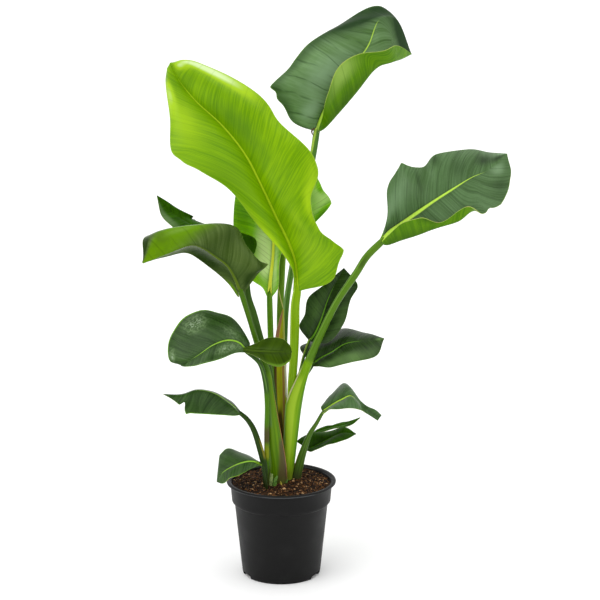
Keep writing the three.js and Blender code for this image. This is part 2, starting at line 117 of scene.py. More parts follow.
def ramp(tree, value, low, high, start=0.0, end=1.0):
    """`value` taken from low..high to start..end, smoothly, and held beyond."""
    inputs = {0: value, 1: low, 2: high, 3: start, 4: end}
    return add_node(tree, "MapRange", inputs, interpolation_type="SMOOTHSTEP").outputs[0]


def maths(tree, operation, first, second=0.0):
    """The result of one Math node."""
    return add_node(tree, "Math", {0: first, 1: second}, operation=operation).outputs[0]


def product(tree, first, second):
    """Two values multiplied."""
    return maths(tree, "MULTIPLY", first, second)


def distance_from(tree, value, place):
    """How far a value is from a place, never below 0."""
    return maths(tree, "ABSOLUTE", maths(tree, "SUBTRACT", value, place))


def body_noise(tree, scale, detail=2.0, **more):
    """Noise in the body of the piece, which needs no UV map."""
    body = add_node(tree, "TexCoord").outputs["Object"]
    inputs = {"Vector": body, "Scale": scale, "Detail": detail, **more}
    return add_node(tree, "TexNoise", inputs).outputs["Fac"]


def new_material(name):
    """A material, its node tree and its Principled shader."""
    material = bpy.data.materials.new(name)
    material.use_nodes = True
    tree = material.node_tree
    return material, tree, tree.nodes["Principled BSDF"]


def set_surface(tree, shader, base, roughness, shine=0.5, tint=(1, 1, 1, 1), bump=None):
    """Sets the shader. `bump` is its strength, its depth in metres and its height."""
    inputs = {"Base Color": base, "Roughness": roughness}
    inputs |= {"Specular IOR Level": shine, "Specular Tint": tint}
    if bump:
        strength, depth, height = bump
        relief = add_node(tree, "Bump", {"Strength": strength, "Distance": depth, "Height": height})
        inputs["Normal"] = relief.outputs[0]
    set_inputs(tree, shader, inputs)


print("colour check:", [round(channel, 3) for channel in colour(255, 128, 0)])

# %% [markdown]
# ## Studio
#
# A product photograph of a plant is lit through a tent of white paper, so the world here is
# bright above, behind and at the sides, and dim only where the camera stands. That keeps
# surfaces that face the lens free of haze and lays a pale sheen on those that turn away. Area
# lights could do the same, but they would light a wide floor unevenly. One soft key light gives
# the forms a direction, and the Standard view lets the pale floor go white.

# %% World
scene = bpy.context.scene
scene.view_settings.view_transform = "Standard"

SKY_LIGHT = 1.25
FRONT_LIGHT = 0.25

world = bpy.data.worlds.new("paper_tent")
world.use_nodes = True
sky = world.node_tree
towards = add_node(sky, "TexCoord").outputs["Generated"]
axes = add_node(sky, "SeparateXYZ", {0: towards})
low = ramp(sky, axes.outputs["Z"], 0.75, 0.25)
in_front = ramp(sky, axes.outputs["Y"], -0.3, -0.8)
dimmed = {0: product(sky, low, in_front), 1: 0.0, 2: 1.0, 3: SKY_LIGHT, 4: FRONT_LIGHT}
strength = add_node(sky, "MapRange", dimmed).outputs["Result"]
set_inputs(sky, sky.nodes["Background"], {"Color": (1, 1, 1, 1), "Strength": strength})
scene.world = world

# %% Floor
FLOOR_HALF_WIDTH = 200
FLOOR_GREY = (0.93, 0.93, 0.93, 1)

floor_bm = bmesh.new()
bmesh.ops.create_grid(floor_bm, x_segments=1, y_segments=1, size=FLOOR_HALF_WIDTH)
floor_mesh = bpy.data.meshes.new("floor")
floor_bm.to_mesh(floor_mesh)
floor_bm.free()
floor = bpy.data.objects.new("floor", floor_mesh)
scene.collection.objects.link(floor)
floor_paper, tree, shader = new_material("floor_paper")
set_surface(tree, shader, FLOOR_GREY, roughness=0.8, shine=0.1)
floor_mesh.materials.append(floor_paper)

# %% Key light
# A wide, distant panel up on the left, turned at the plant: its angle is how soft it is.
KEY_PLACE = (-1.1, -1.4, 2.9)
KEY_TARGET = Vector((0, 0, 0.5))

key_data = bpy.data.lights.new("key_light", "SUN")
key_data.energy = 0.85
key_data.angle = math.radians(48)
key = bpy.data.objects.new("key_light", key_data)
key.location = KEY_PLACE
key.rotation_euler = (KEY_TARGET - key.location).to_track_quat("-Z", "Y").to_euler()
scene.collection.objects.link(key)

# %% [markdown]
# ## Veins
#
# A paddle's side veins run from the midrib to the margin, close together and swept towards the
# tip. Each blade carries a UV map named `veins`: how far a point is from the rib in metres, and
# where along the rib the vein through it starts. Noise that is stretched along the veins gives
# the fine veins and the wider pleats, and creases at nearly even steps lie over both. Every leaf
# finish uses the pattern, so it is a node group.


# %% Node group: veins
def group_socket(group, name, direction):
    """Gives a node group a socket for a number."""
    group.interface.new_socket(name=name, in_out=direction, socket_type="NodeSocketFloat")


vein_group = bpy.data.node_groups.new("leaf veins", "ShaderNodeTree")
for input_name in ("Veins per metre", "Pleats per metre", "Creases per metre"):
    group_socket(vein_group, input_name, "INPUT")
for output_name in ("Vein", "Pleat", "Crease", "Off rib", "Height"):
    group_socket(vein_group, output_name, "OUTPUT")
group_in = vein_group.nodes.new("NodeGroupInput")
group_out = vein_group.nodes.new("NodeGroupOutput")
vein_uv = add_node(vein_group, "UVMap", uv_map="veins")
off_rib, along_rib = add_node(vein_group, "SeparateXYZ", {0: vein_uv.outputs[0]}).outputs[:2]


def stretched_noise(per_metre, detail, drift):
    """Noise drawn out across the blade, with `per_metre` ridges along it."""
    along = product(vein_group, along_rib, per_metre)
    across = product(vein_group, off_rib, drift)
    point = add_node(vein_group, "CombineXYZ", {0: across, 1: along})
    inputs = {"Vector": point.outputs[0], "Scale": 1.0, "Detail": detail, "Roughness": 0.6}
    return add_node(vein_group, "TexNoise", inputs, noise_dimensions="2D").outputs["Fac"]


CREASE_WOBBLE = 0.7
CREASE_HALF_WIDTH = 0.09
PLEAT_HEIGHT = 1.6
CREASE_HEIGHT = 0.6

vein = stretched_noise(group_in.outputs[0], 2.0, 14.0)
pleat = stretched_noise(group_in.outputs[1], 1.0, 3.0)
wobble = product(vein_group, stretched_noise(18.0, 1.0, 9.0), CREASE_WOBBLE)
crease_count = product(vein_group, along_rib, group_in.outputs[2])
crease_place = maths(vein_group, "FRACT", maths(vein_group, "ADD", crease_count, wobble))
off_crease = distance_from(vein_group, crease_place, 0.5)
crease = ramp(vein_group, off_crease, 0.0, CREASE_HALF_WIDTH, 1.0, 0.0)
crease_fade = ramp(vein_group, stretched_noise(40.0, 1.0, 22.0), 0.25, 0.6)
creases = product(vein_group, crease, crease_fade)
ridges = maths(vein_group, "ADD", vein, product(vein_group, pleat, PLEAT_HEIGHT))
height = maths(vein_group, "SUBTRACT", ridges, product(vein_group, creases, CREASE_HEIGHT))
set_inputs(vein_group, group_out, {
    "Vein": ramp(vein_group, vein, 0.38, 0.62),
    "Pleat": ramp(vein_group, pleat, 0.32, 0.68),
    "Crease": creases,
    "Off rib": maths(vein_group, "ABSOLUTE", off_rib),
    "Height": height,
})
print("vein group:", len(vein_group.nodes), "nodes")

# %% [markdown]
# ## Leaf finishes
#
# Both sides of a blade are painted by the same recipe. It starts from two greens mixed by the
# veins and pleats, where the pleats' light and dark stand partly for painted shade between them,
# adds cloudy patches, and lays on painted light, painted shade and a paler painted highlight from
# the blade's soft spots. It darkens the creases and both sides of the midrib with painted shade,
# draws the midrib as a line that thins towards the tip, and ends with the pale line along the
# margin. The UV map `place` holds how far across and along the blade a point is, from 0 to 1.


# %% Leaf material
RIB_BLUR = 0.0006
RIB_SHADE_WIDTH = 0.004
VEIN_DEPTH = 0.0005
GLOSS_RANGE = 0.08


def leaf_material(
    name, light, dark, rib, edge, painted_light, deep, gloss=0.42, shine=0.3, shine_tint=(1, 1, 1, 1),
    rib_width=0.0024, patch=0.3, veins=260, pleats=50, vein_share=0.5, creases=60,
    crease_share=0.3, edge_width=0.012, painted_highlight=None, relief=0.45, mottled_highlights=False,
):
    """One side of a blade, with the colours of its painted light, its painted shade (`deep`) and its
    paler painted highlight.
    """
    material, tree, shader = new_material(name)
    counts = {"Veins per metre": veins, "Pleats per metre": pleats, "Creases per metre": creases}
    pattern = add_node(tree, "Group", counts, node_tree=vein_group)
    place = add_node(tree, "UVMap", uv_map="place")
    across = add_node(tree, "SeparateXYZ", {0: place.outputs[0]}).outputs[0]
    aside = product(tree, distance_from(tree, across, 0.5), 2.0)
    # Painted light and shade: the blade's soft spots, light above 0 and shade below.
    painted_light_and_tone = add_node(tree, "Attribute", attribute_name="painted_light_and_tone").outputs["Fac"]
    clouds = body_noise(tree, 16.0, 3.0, Roughness=0.55)

    # The veins and pleats mix the two greens; across the pleats this is partly their own colour and
    # partly painted shade.
    fine = product(tree, pattern.outputs["Vein"], vein_share)
    broad = product(tree, pattern.outputs["Pleat"], 1 - vein_share)
    green = mix_colours(tree, maths(tree, "ADD", fine, broad), dark, light)
    # Painted light up to a spot strength of 1, and a paler painted highlight above it.
    painted_light_share = ramp(tree, painted_light_and_tone, 0.0, 1.0)
    painted_highlight_share = ramp(tree, painted_light_and_tone, 1.0, 2.2)
    # Noise breaks the painted light and painted highlight into mottled patches.
    if mottled_highlights:
        scuffs_and_highlight_mottle = body_noise(tree, 150.0, 5.0, Distortion=1.5)
        painted_light_share = product(tree, painted_light_share, ramp(tree, scuffs_and_highlight_mottle, 0.35, 0.65, 0.25, 1.0))
        painted_highlight_share = product(tree, painted_highlight_share, ramp(tree, scuffs_and_highlight_mottle, 0.5, 0.6))
    green = mix_colours(tree, painted_light_share, green, painted_light)
    if painted_highlight:
        green = mix_colours(tree, painted_highlight_share, green, painted_highlight)
    # Painted shade where the spots fall below 0.
    painted_shade_share = maths(tree, "MAXIMUM", product(tree, painted_light_and_tone, -1.0), 0.0)
    green = mix_colours(tree, painted_shade_share, green, deep)
    cloud_share = product(tree, ramp(tree, clouds, 0.45, 0.7), patch)
    green = mix_colours(tree, cloud_share, green, dark)
    # Painted shade darkens the creases.
    painted_crease_shade = product(tree, pattern.outputs["Crease"], crease_share)
    green = mix_colours(tree, painted_crease_shade, green, deep)

    rib_size = add_node(tree, "Attribute", attribute_name="rib").outputs["Fac"]
    rib_reach = product(tree, rib_size, rib_width)
    beyond_rib = maths(tree, "SUBTRACT", pattern.outputs["Off rib"], rib_reach)
    # Painted shade along both sides of the midrib.
    painted_rib_shade = ramp(tree, beyond_rib, 0.0, RIB_SHADE_WIDTH, 0.5, 0.0)
    green = mix_colours(tree, product(tree, painted_rib_shade, rib_size), green, deep)
    rib_share = ramp(tree, beyond_rib, -RIB_BLUR, RIB_BLUR, 1.0, 0.0)
    rib_fade = ramp(tree, rib_size, 0.06, 0.2)
    green = mix_colours(tree, product(tree, rib_share, rib_fade), green, rib)
    edge_share = ramp(tree, aside, 1 - edge_width * 1.6, 1 - edge_width * 0.6)
    green = mix_colours(tree, edge_share, green, edge)

    roughness = ramp(tree, clouds, 0.3, 0.7, gloss - GLOSS_RANGE, gloss + GLOSS_RANGE)
    bump = (relief, VEIN_DEPTH, pattern.outputs["Height"])
    set_surface(tree, shader, green, roughness, shine, shine_tint, bump)
    return material


# %% The leaves' finishes
PALE_EDGE = colour(156, 182, 76)
RIB_LIGHT = colour(178, 218, 70)
GREEN_SHINE = (0.75, 1.0, 0.55, 1)

# Besides its greens, each finish gives the colours of its painted light, its painted shade (deep) and
# its paler painted highlight.
LEAF_PAINTS = {
    "lime_upper": dict(
        light=colour(130, 174, 0), dark=colour(92, 140, 0), rib=colour(162, 192, 24),
        edge=colour(140, 176, 40), painted_light=colour(158, 196, 24), deep=colour(74, 120, 0), gloss=0.36,
        shine=0.2, shine_tint=GREEN_SHINE, rib_width=0.0046, patch=0.05, veins=330, pleats=30,
        vein_share=0.6, creases=30, crease_share=0.16, painted_highlight=colour(206, 230, 164), relief=0.25,
    ),
    "lime_under": dict(
        light=colour(140, 176, 24), dark=colour(112, 152, 12), rib=colour(160, 186, 50),
        edge=colour(150, 176, 40), painted_light=colour(150, 184, 40), deep=colour(96, 138, 6), gloss=0.5,
        shine=0.2, pleats=30, creases=34, crease_share=0.2,
    ),
    "grey_lined": dict(
        light=colour(108, 142, 92), dark=colour(78, 112, 56), rib=RIB_LIGHT,
        edge=colour(84, 124, 40), painted_light=colour(128, 158, 120), deep=colour(20, 52, 8), gloss=0.36,
        shine=0.12, veins=240, pleats=40, vein_share=0.4, creases=38, crease_share=0.5,
        painted_highlight=colour(156, 180, 156),
    ),
    "grey_upper": dict(
        light=colour(82, 114, 68), dark=colour(56, 86, 40), rib=RIB_LIGHT,
        edge=colour(84, 120, 40), painted_light=colour(110, 140, 100), deep=colour(12, 38, 0), gloss=0.3,
        shine=0.14, veins=340, pleats=36, vein_share=0.55, creases=44, crease_share=0.35,
        painted_highlight=colour(140, 164, 130),
    ),
    "mid_upper": dict(
        light=colour(64, 94, 44), dark=colour(32, 60, 14), rib=colour(136, 184, 50),
        edge=colour(104, 156, 24), painted_light=colour(104, 130, 86), deep=colour(14, 34, 2), gloss=0.28,
        shine=0.16, rib_width=0.0022, patch=0.4, edge_width=0.025, painted_highlight=colour(160, 180, 150),
        mottled_highlights=True,
    ),
    "deep_upper": dict(
        light=colour(48, 74, 28), dark=colour(18, 40, 4), rib=colour(96, 150, 30),
        edge=colour(84, 124, 30), painted_light=colour(88, 120, 62), deep=colour(6, 18, 0), gloss=0.3,
        shine=0.13, rib_width=0.002, patch=0.35, painted_highlight=colour(130, 150, 110),
    ),
    "rear_upper": dict(
        light=colour(58, 106, 0), dark=colour(34, 72, 0), rib=colour(60, 104, 10),
        edge=colour(70, 110, 20), painted_light=colour(96, 124, 76), deep=colour(12, 32, 0), gloss=0.34,
        shine=0.07, shine_tint=GREEN_SHINE, rib_width=0.0012, patch=0.4,
    ),
    "fresh_upper": dict(
        light=colour(138, 204, 10), dark=colour(100, 168, 0), rib=colour(230, 238, 70),
        edge=colour(160, 200, 70), painted_light=colour(206, 236, 150), deep=colour(40, 96, 0), gloss=0.26,
        shine=0.22, rib_width=0.0042, patch=0.15, creases=110, crease_share=0.45,
        painted_highlight=colour(226, 240, 200),
    ),
    "bright_under": dict(
        light=colour(96, 142, 4), dark=colour(68, 114, 0), rib=colour(110, 150, 20),
        edge=PALE_EDGE, painted_light=colour(140, 174, 76), deep=colour(34, 72, 0), gloss=0.3, shine=0.2,
        shine_tint=GREEN_SHINE, rib_width=0.003, patch=0.15, pleats=40, vein_share=0.6,
        creases=50, painted_highlight=colour(190, 210, 150), relief=0.3,
    ),
    "left_under": dict(
        light=colour(86, 106, 52), dark=colour(58, 80, 26), rib=colour(84, 106, 20),
        edge=colour(110, 134, 50), painted_light=colour(96, 138, 2), deep=colour(28, 50, 0), gloss=0.28,
        shine=0.14, shine_tint=GREEN_SHINE, rib_width=0.0012, patch=0.5, vein_share=0.45,
        creases=36, crease_share=0.25, painted_highlight=colour(190, 212, 140),
    ),
    "olive_under": dict(
        light=colour(58, 84, 4), dark=colour(40, 62, 0), rib=colour(60, 84, 8),
        edge=colour(96, 130, 40), painted_light=colour(92, 130, 30), deep=colour(24, 42, 0), gloss=0.36,
        shine=0.15, shine_tint=GREEN_SHINE, rib_width=0.001, vein_share=0.4,
    ),
}
finishes = {name: leaf_material(name, **paints) for name, paints in LEAF_PAINTS.items()}
print("finishes:", ", ".join(finishes))

# %% [markdown]
# ## Guide curves
#
# Every form below follows smooth curves through a handful of points. A Catmull-Rom curve is the
# right kind: it passes through each point and needs no handles. A curve object could draw it
# too, but a small class lets a formula ask for any place and direction along it.


# %% Guide curves
MM = 0.001
SMALL_STEP = 1e-4


class GuideCurve:
    """A smooth curve through points, asked for a share of the way from 0 to 1."""

    def __init__(self, points):
        self.points = [Vector(point) for point in points]

    def at(self, share):
        """The point at that share of the way."""
        last = len(self.points) - 1
        reach = min(max(share, 0.0), 1.0) * last
        i = min(int(reach), last - 1)
        w = reach - i
        b, c = self.points[i], self.points[i + 1]
        a = self.points[i - 1] if i > 0 else 2 * b - c
        d = self.points[i + 2] if i + 2 <= last else 2 * c - b
        slope_b, slope_c = (c - a) / 2, (d - b) / 2
        bend = 3 * (c - b) - 2 * slope_b - slope_c
        twist = 2 * (b - c) + slope_b + slope_c
        return b + slope_b * w + bend * w**2 + twist * w**3

    def direction(self, share):
        """The unit vector along the curve there."""
        ahead, behind = min(share + SMALL_STEP, 1.0), max(share - SMALL_STEP, 0.0)
        return (self.at(ahead) - self.at(behind)).normalized()


def metres(rows):
    """Rows of millimetres as vectors in metres."""
    return [Vector(row[:3]) * MM for row in rows]


# %% [markdown]
# ## The leaves' guide points
#
# Each leaf has a rib from stalk to tip and its two margins, station by station, in millimetres.
# A fold is the crest that a rolled half passes over on its way to the margin. The stalk's rows
# end in its half width and half depth, and `neck` is that pair where the blade begins.

# %% Guide points
LEAVES = {
    "tall": {
        "rib": [
            (30, -6, 559), (26, 0, 613), (13, 8, 652), (-9, 20, 697), (-35, 34, 750), (-67, 52, 809),
            (-110, 72, 860), (-160, 92, 903), (-194, 106, 943), (-208, 104, 974),
        ],
        "left": [
            (23, -12, 597), (-1, -14, 638), (-44, -12, 688), (-94, -6, 751), (-149, 0, 787),
            (-200, 10, 815), (-207, 50, 877), (-217, 93, 941),
        ],
        "right": [
            (98, -36, 589), (114, -42, 646), (70, -28, 682), (56, -14, 736), (68, -4, 791),
            (14, 24, 857), (-44, 50, 923), (-153, 94, 977),
        ],
        "stalk": [
            (18, 12, 293, 6.5, 6), (20, 8, 362, 8, 7), (24, 3, 422, 8.2, 7.6), (26, -2, 482, 8.8, 7.6),
            (27, -5, 530, 8.4, 7),
        ],
        "neck": (7.4, 5.5),
    },
    "top": {
        "rib": [
            (66, 124, 839), (78, 124, 874), (104, 124, 921), (136, 128, 963), (165, 136, 1003),
            (186, 152, 1049), (222, 180, 1045), (249, 172, 982),
        ],
        "left": [
            (36, 130, 851), (6, 140, 885), (-19, 150, 922), (36, 162, 982), (103, 172, 1033),
            (191, 190, 1070),
        ],
        "right": [
            (78, 100, 873), (87, 86, 913), (103, 78, 962), (143, 86, 992), (192, 104, 996),
            (219, 132, 1003),
        ],
        "right_fold": [
            (85, 108, 851), (113, 96, 884), (145, 90, 924), (179, 98, 964), (209, 118, 975),
            (231, 146, 978),
        ],
        "stalk": [
            (11, 50, 180, 7, 6.5), (7, 53, 269, 7, 6.5), (3, 60, 357, 6.6, 6.4), (6, 68, 445, 6.2, 6),
            (11, 76, 522, 5.8, 5.6), (27, 90, 617, 6.2, 5.4), (48, 107, 730, 6, 5.2),
            (61, 118, 796, 6.2, 5.4),
        ],
        "neck": (6.2, 5),
    },
    "right": {
        "rib": [
            (184, -30, 658), (199, -33, 677), (221, -38, 694), (250, -46, 717), (282, -54, 741),
            (316, -62, 765), (349, -70, 787), (381, -76, 803), (412, -72, 831),
        ],
        "left": [
            (197, -18, 709), (198, -2, 756), (225, 10, 795), (265, 12, 792), (290, 14, 816),
            (347, 4, 826), (384, -24, 826),
        ],
        "right": [
            (200, -54, 678), (227, -68, 703), (257, -82, 715), (291, -92, 708), (331, -106, 735),
            (381, -116, 737), (417, -104, 788),
        ],
        "right_fold": [
            (198, -49, 657), (225, -62, 669), (263, -78, 686), (300, -90, 704), (332, -100, 719),
        ],
        "stalk": [
            (12, 14, 180, 9, 8), (14, 14, 212, 11.5, 10), (17, 12, 251, 13, 11.5),
            (20, 9, 292, 14.5, 12.5), (25, 5, 339, 15.5, 12.5), (38, -1, 384, 11, 10),
            (52, -6, 421, 8.4, 8), (74, -12, 475, 7, 7), (105, -20, 541, 6.5, 6.5),
            (140, -27, 597, 6.8, 6), (160, -29, 630, 6.8, 5.6),
        ],
        "neck": (6.4, 5),
    },
    "left": {
        "rib": [
            (-73, -44, 564), (-83, -50, 592), (-97, -57, 619), (-119, -66, 639), (-142, -76, 657),
            (-165, -86, 665), (-204, -104, 654), (-250, -118, 638),
        ],
        "left": [
            (-42, -36, 599), (-28, -22, 613), (-61, 4, 622), (-80, 12, 657), (-140, 2, 666),
            (-244, -80, 680),
        ],
        "left_fold": [
            (-57, -47, 597), (-46, -42, 615), (-70, -34, 657), (-90, -36, 689), (-143, -50, 695),
            (-221, -98, 688),
        ],
        "right": [
            (-79, -36, 555), (-96, -35, 578), (-126, -35, 607), (-151, -42, 628), (-178, -60, 644),
            (-216, -90, 642),
        ],
        "stalk": [
            (-4, -8, 175, 16, 11), (-6, -9, 218, 16, 11.5), (-12, -12, 269, 14.5, 11),
            (-17, -17, 318, 11, 9.5), (-21, -22, 361, 8.5, 8), (-27, -28, 411, 6.8, 7),
            (-46, -34, 469, 5.2, 6), (-58, -38, 511, 4.6, 5.6),
        ],
        "neck": (5.2, 5.2),
    },
    "left_rear": {
        "rib": [
            (-65, 14, 610), (-80, 19, 632), (-109, 26, 650), (-143, 34, 665), (-177, 43, 681),
            (-209, 50, 701), (-233, 50, 730),
        ],
        "left": [(-88, 0, 623), (-121, 2, 638), (-159, 8, 652), (-189, 18, 665), (-223, 36, 693)],
        "right": [(-48, 24, 629), (-50, 33, 652), (-100, 48, 668), (-160, 58, 679), (-179, 58, 696)],
        "stalk": [
            (-8, 14, 176, 9, 8), (-11, 10, 242, 8.5, 8), (-14, 4, 323, 8, 7), (-23, -4, 405, 6.6, 6.4),
            (-39, -10, 467, 7, 5.8), (-52, -11, 516, 7.4, 5.6), (-63, -8, 554, 7, 5.2),
        ],
        "neck": (5.4, 4.6),
    },
    "centre": {
        "rib": [
            (-22, 34, 538), (-19, 38, 574), (-14, 46, 622), (-15, 56, 670), (-28, 66, 719),
            (-47, 76, 765), (-62, 80, 793),
        ],
        "left": [(-55, 36, 568), (-76, 48, 603), (-89, 58, 647), (-89, 64, 704), (-81, 70, 749)],
        "right": [(-5, 30, 560), (-2, 32, 614), (13, 38, 655), (17, 48, 713), (-5, 62, 765)],
        "stalk": [
            (-5, 40, 184, 7, 6.5), (-8, 38, 253, 6.6, 6.4), (-14, 35, 324, 6, 6),
            (-18, 33, 394, 5.8, 5.4), (-20, 33, 464, 5.8, 5.1),
        ],
        "neck": (5.4, 4.6),
    },
    "rear": {
        "rib": [
            (4, 66, 630), (11, 74, 655), (23, 88, 691), (30, 100, 727), (32, 108, 761), (25, 110, 791),
        ],
        "left": [(-13, 74, 647), (-19, 86, 684), (-14, 98, 724), (2, 108, 765)],
        "right": [(42, 62, 646), (93, 78, 709), (69, 94, 756), (46, 104, 783)],
        "stalk": [
            (3, 44, 182, 7, 6.5), (0, 43, 272, 7, 6.5), (-1, 44, 362, 6.8, 6.4), (-2, 48, 450, 6.8, 6),
            (-1, 55, 527, 6.6, 5.6),
        ],
        "neck": (5.6, 5),
    },
    "mid_left": {
        "rib": [
            (-63, -62, 457), (-77, -66, 475), (-99, -73, 481), (-125, -82, 474), (-149, -90, 459),
            (-169, -94, 447), (-184, -92, 437),
        ],
        "left": [
            (-84, -80, 458), (-110, -94, 451), (-139, -104, 445), (-159, -106, 441), (-174, -102, 438),
        ],
        "right": [
            (-59, -44, 473), (-94, -22, 513), (-151, -22, 526), (-202, -52, 488), (-208, -80, 449),
        ],
        "stalk": [
            (-27, -25, 185, 5, 5), (-27, -25, 229, 5.2, 5.2), (-27, -27, 289, 5, 5),
            (-26, -32, 346, 4.8, 4.8), (-30, -41, 395, 4.6, 4.6), (-40, -52, 432, 4.4, 4.4),
        ],
        "neck": (3.6, 4),
    },
    "mid_left_lobe": {
        "rib": [
            (-68, -63, 460), (-46, -71, 460), (-23, -76, 460), (-3, -78, 460), (12, -76, 459),
            (21, -73, 459),
        ],
        "left": [(-46, -75, 450), (-23, -82, 438), (-1, -84, 433), (17, -79, 443)],
        "right": [(-46, -67, 474), (-22, -68, 485), (3, -69, 483), (17, -71, 471)],
        "neck": (4, 4),
    },
    "mid_rear": {
        "rib": [
            (54, 30, 453), (65, 32, 468), (76, 38, 492), (87, 48, 523), (99, 60, 549), (120, 68, 586),
        ],
        "left": [(35, 26, 481), (45, 32, 505), (52, 42, 535), (82, 54, 557)],
        "right": [(91, 24, 452), (120, 28, 489), (132, 42, 530), (146, 60, 555)],
        "stalk": [
            (7, 30, 191, 5, 5), (12, 29, 256, 5, 5), (25, 27, 337, 4.4, 4.4), (37, 27, 394, 3.4, 3.4),
            (44, 28, 425, 3, 3),
        ],
        "neck": (3, 3),
    },
    "mid_right": {
        "rib": [
            (58, 18, 408), (74, 16, 422), (97, 10, 437), (121, 0, 455), (149, -10, 463),
            (194, -22, 471),
        ],
        "left": [(36, 58, 433), (65, 66, 444), (116, 56, 470), (161, 18, 472)],
        "right": [(70, 2, 410), (95, -14, 413), (134, -32, 428), (178, -42, 442)],
        "stalk": [
            (17, 36, 185, 5, 5), (18, 36, 234, 4.6, 4.6), (24, 31, 305, 4.4, 4.4), (36, 26, 363, 4, 4),
        ],
        "neck": (3.6, 3.6),
    },
    "low_left": {
        "rib": [
            (-74, -34, 328), (-96, -42, 351), (-125, -54, 374), (-156, -68, 384), (-186, -80, 378),
            (-218, -86, 381),
        ],
        "left": [(-88, -56, 330), (-128, -78, 339), (-174, -94, 348), (-194, -92, 367)],
        "right": [(-93, -12, 344), (-125, -8, 357), (-157, -18, 363), (-185, -54, 370)],
        "stalk": [
            (-30, -38, 185, 3.6, 3.6), (-31, -36, 217, 5.6, 4.2), (-38, -34, 252, 6.2, 4.4),
            (-50, -33, 292, 5.6, 4), (-62, -33, 314, 5, 3.2),
        ],
        "neck": (4.2, 2.8),
    },
    "lowest_left": {
        "rib": [
            (-35, -46, 232), (-55, -50, 239), (-75, -55, 237), (-96, -60, 229), (-111, -63, 219),
            (-121, -64, 202),
        ],
        "left": [(-55, -60, 228), (-75, -76, 221), (-94, -84, 217), (-109, -76, 203)],
        "right": [(-55, -26, 239), (-82, -16, 248), (-106, -18, 253), (-118, -38, 235)],
        "stalk": [(-27, -51, 186, 2.4, 2.4), (-30, -50, 205, 2.2, 2.2)],
        "neck": (2, 2),
    },
    "low_right": {
        "rib": [
            (78, 4, 319), (97, -2, 335), (116, -10, 349), (134, -20, 358), (159, -29, 337),
            (186, -36, 319),
        ],
        "left": [(77, 14, 329), (95, 26, 347), (122, 30, 369), (156, -24, 345)],
        "right": [(89, -14, 329), (111, -34, 337), (143, -50, 342), (161, -34, 328)],
        "stalk": [
            (28, 18, 177, 9.5, 8), (36, 16, 216, 8.4, 7), (45, 13, 247, 6.6, 6), (55, 10, 274, 5, 5),
            (68, 7, 297, 3.8, 3.8),
        ],
        "neck": (3.2, 3.2),
    },
    "lower_right": {
        "rib": [
            (48, 42, 233), (67, 46, 240), (84, 52, 247), (102, 58, 255), (121, 64, 260),
            (145, 66, 257),
        ],
        "left": [(33, 58, 247), (59, 68, 258), (96, 76, 260), (122, 76, 268)],
        "right": [(59, 32, 232), (80, 32, 242), (102, 38, 247), (125, 48, 251)],
        "stalk": [(30, 38, 182, 4, 4), (39, 40, 212, 3.4, 3.4)],
        "neck": (2.8, 2.8),
    },
    "narrow_right": {
        "rib": [(61, 88, 251), (79, 92, 257), (100, 98, 261), (126, 104, 265), (154, 106, 278)],
        "left": [(73, 96, 259), (99, 104, 265), (124, 110, 267)],
        "right": [(77, 86, 254), (102, 90, 260), (134, 98, 264)],
        "stalk": [(32, 58, 180, 3, 3), (44, 76, 221, 2.6, 2.6)],
        "neck": (2.2, 2.2),
    },
}

# %% Looks of each leaf
# upper and under finish, how far the veins of the left and of the right half sweep forward,
# ripple in mm and waves along a margin, and how far along the rib shows on the upper side
LOOKS = {
    "tall": ("lime_upper", "lime_under", (1.7, 0.5), 0.8, 3.0, 0.95),
    "top": ("grey_lined", "bright_under", (-0.1, 1.5), 1.2, 4.0, 0.76),
    "right": ("grey_upper", "bright_under", (0.5, 0.9), 1.4, 4.5, 0.9),
    "left": ("mid_upper", "left_under", (0.6, 0.6), 1.0, 3.0, 0.9),
    "left_rear": ("rear_upper", "olive_under", (0.6, 0.6), 1.6, 6.0, 0.9),
    "centre": ("fresh_upper", "bright_under", (0.7, 0.7), 1.0, 4.0, 0.95),
    "rear": ("fresh_upper", "bright_under", (0.7, 0.7), 1.0, 4.0, 0.95),
    "mid_left": ("mid_upper", "bright_under", (0.7, 0.7), 0.8, 3.0, 0.84),
    "mid_left_lobe": ("mid_upper", "olive_under", (0.5, 0.5), 0.4, 3.0, 0.8),
    "mid_rear": ("deep_upper", "bright_under", (0.6, 0.6), 0.8, 4.0, 0.9),
    "mid_right": ("deep_upper", "bright_under", (0.6, 0.6), 0.8, 4.0, 0.9),
    "low_left": ("mid_upper", "bright_under", (0.6, 0.6), 0.8, 5.0, 0.7),
    "lowest_left": ("mid_upper", "bright_under", (0.6, 0.6), 0.8, 4.0, 0.9),
    "low_right": ("grey_upper", "bright_under", (0.6, 0.6), 0.8, 4.0, 0.7),
    "lower_right": ("rear_upper", "bright_under", (0.5, 0.5), 0.6, 4.0, 0.9),
    "narrow_right": ("rear_upper", "bright_under", (0.5, 0.5), 0.3, 4.0, 0.9),
}

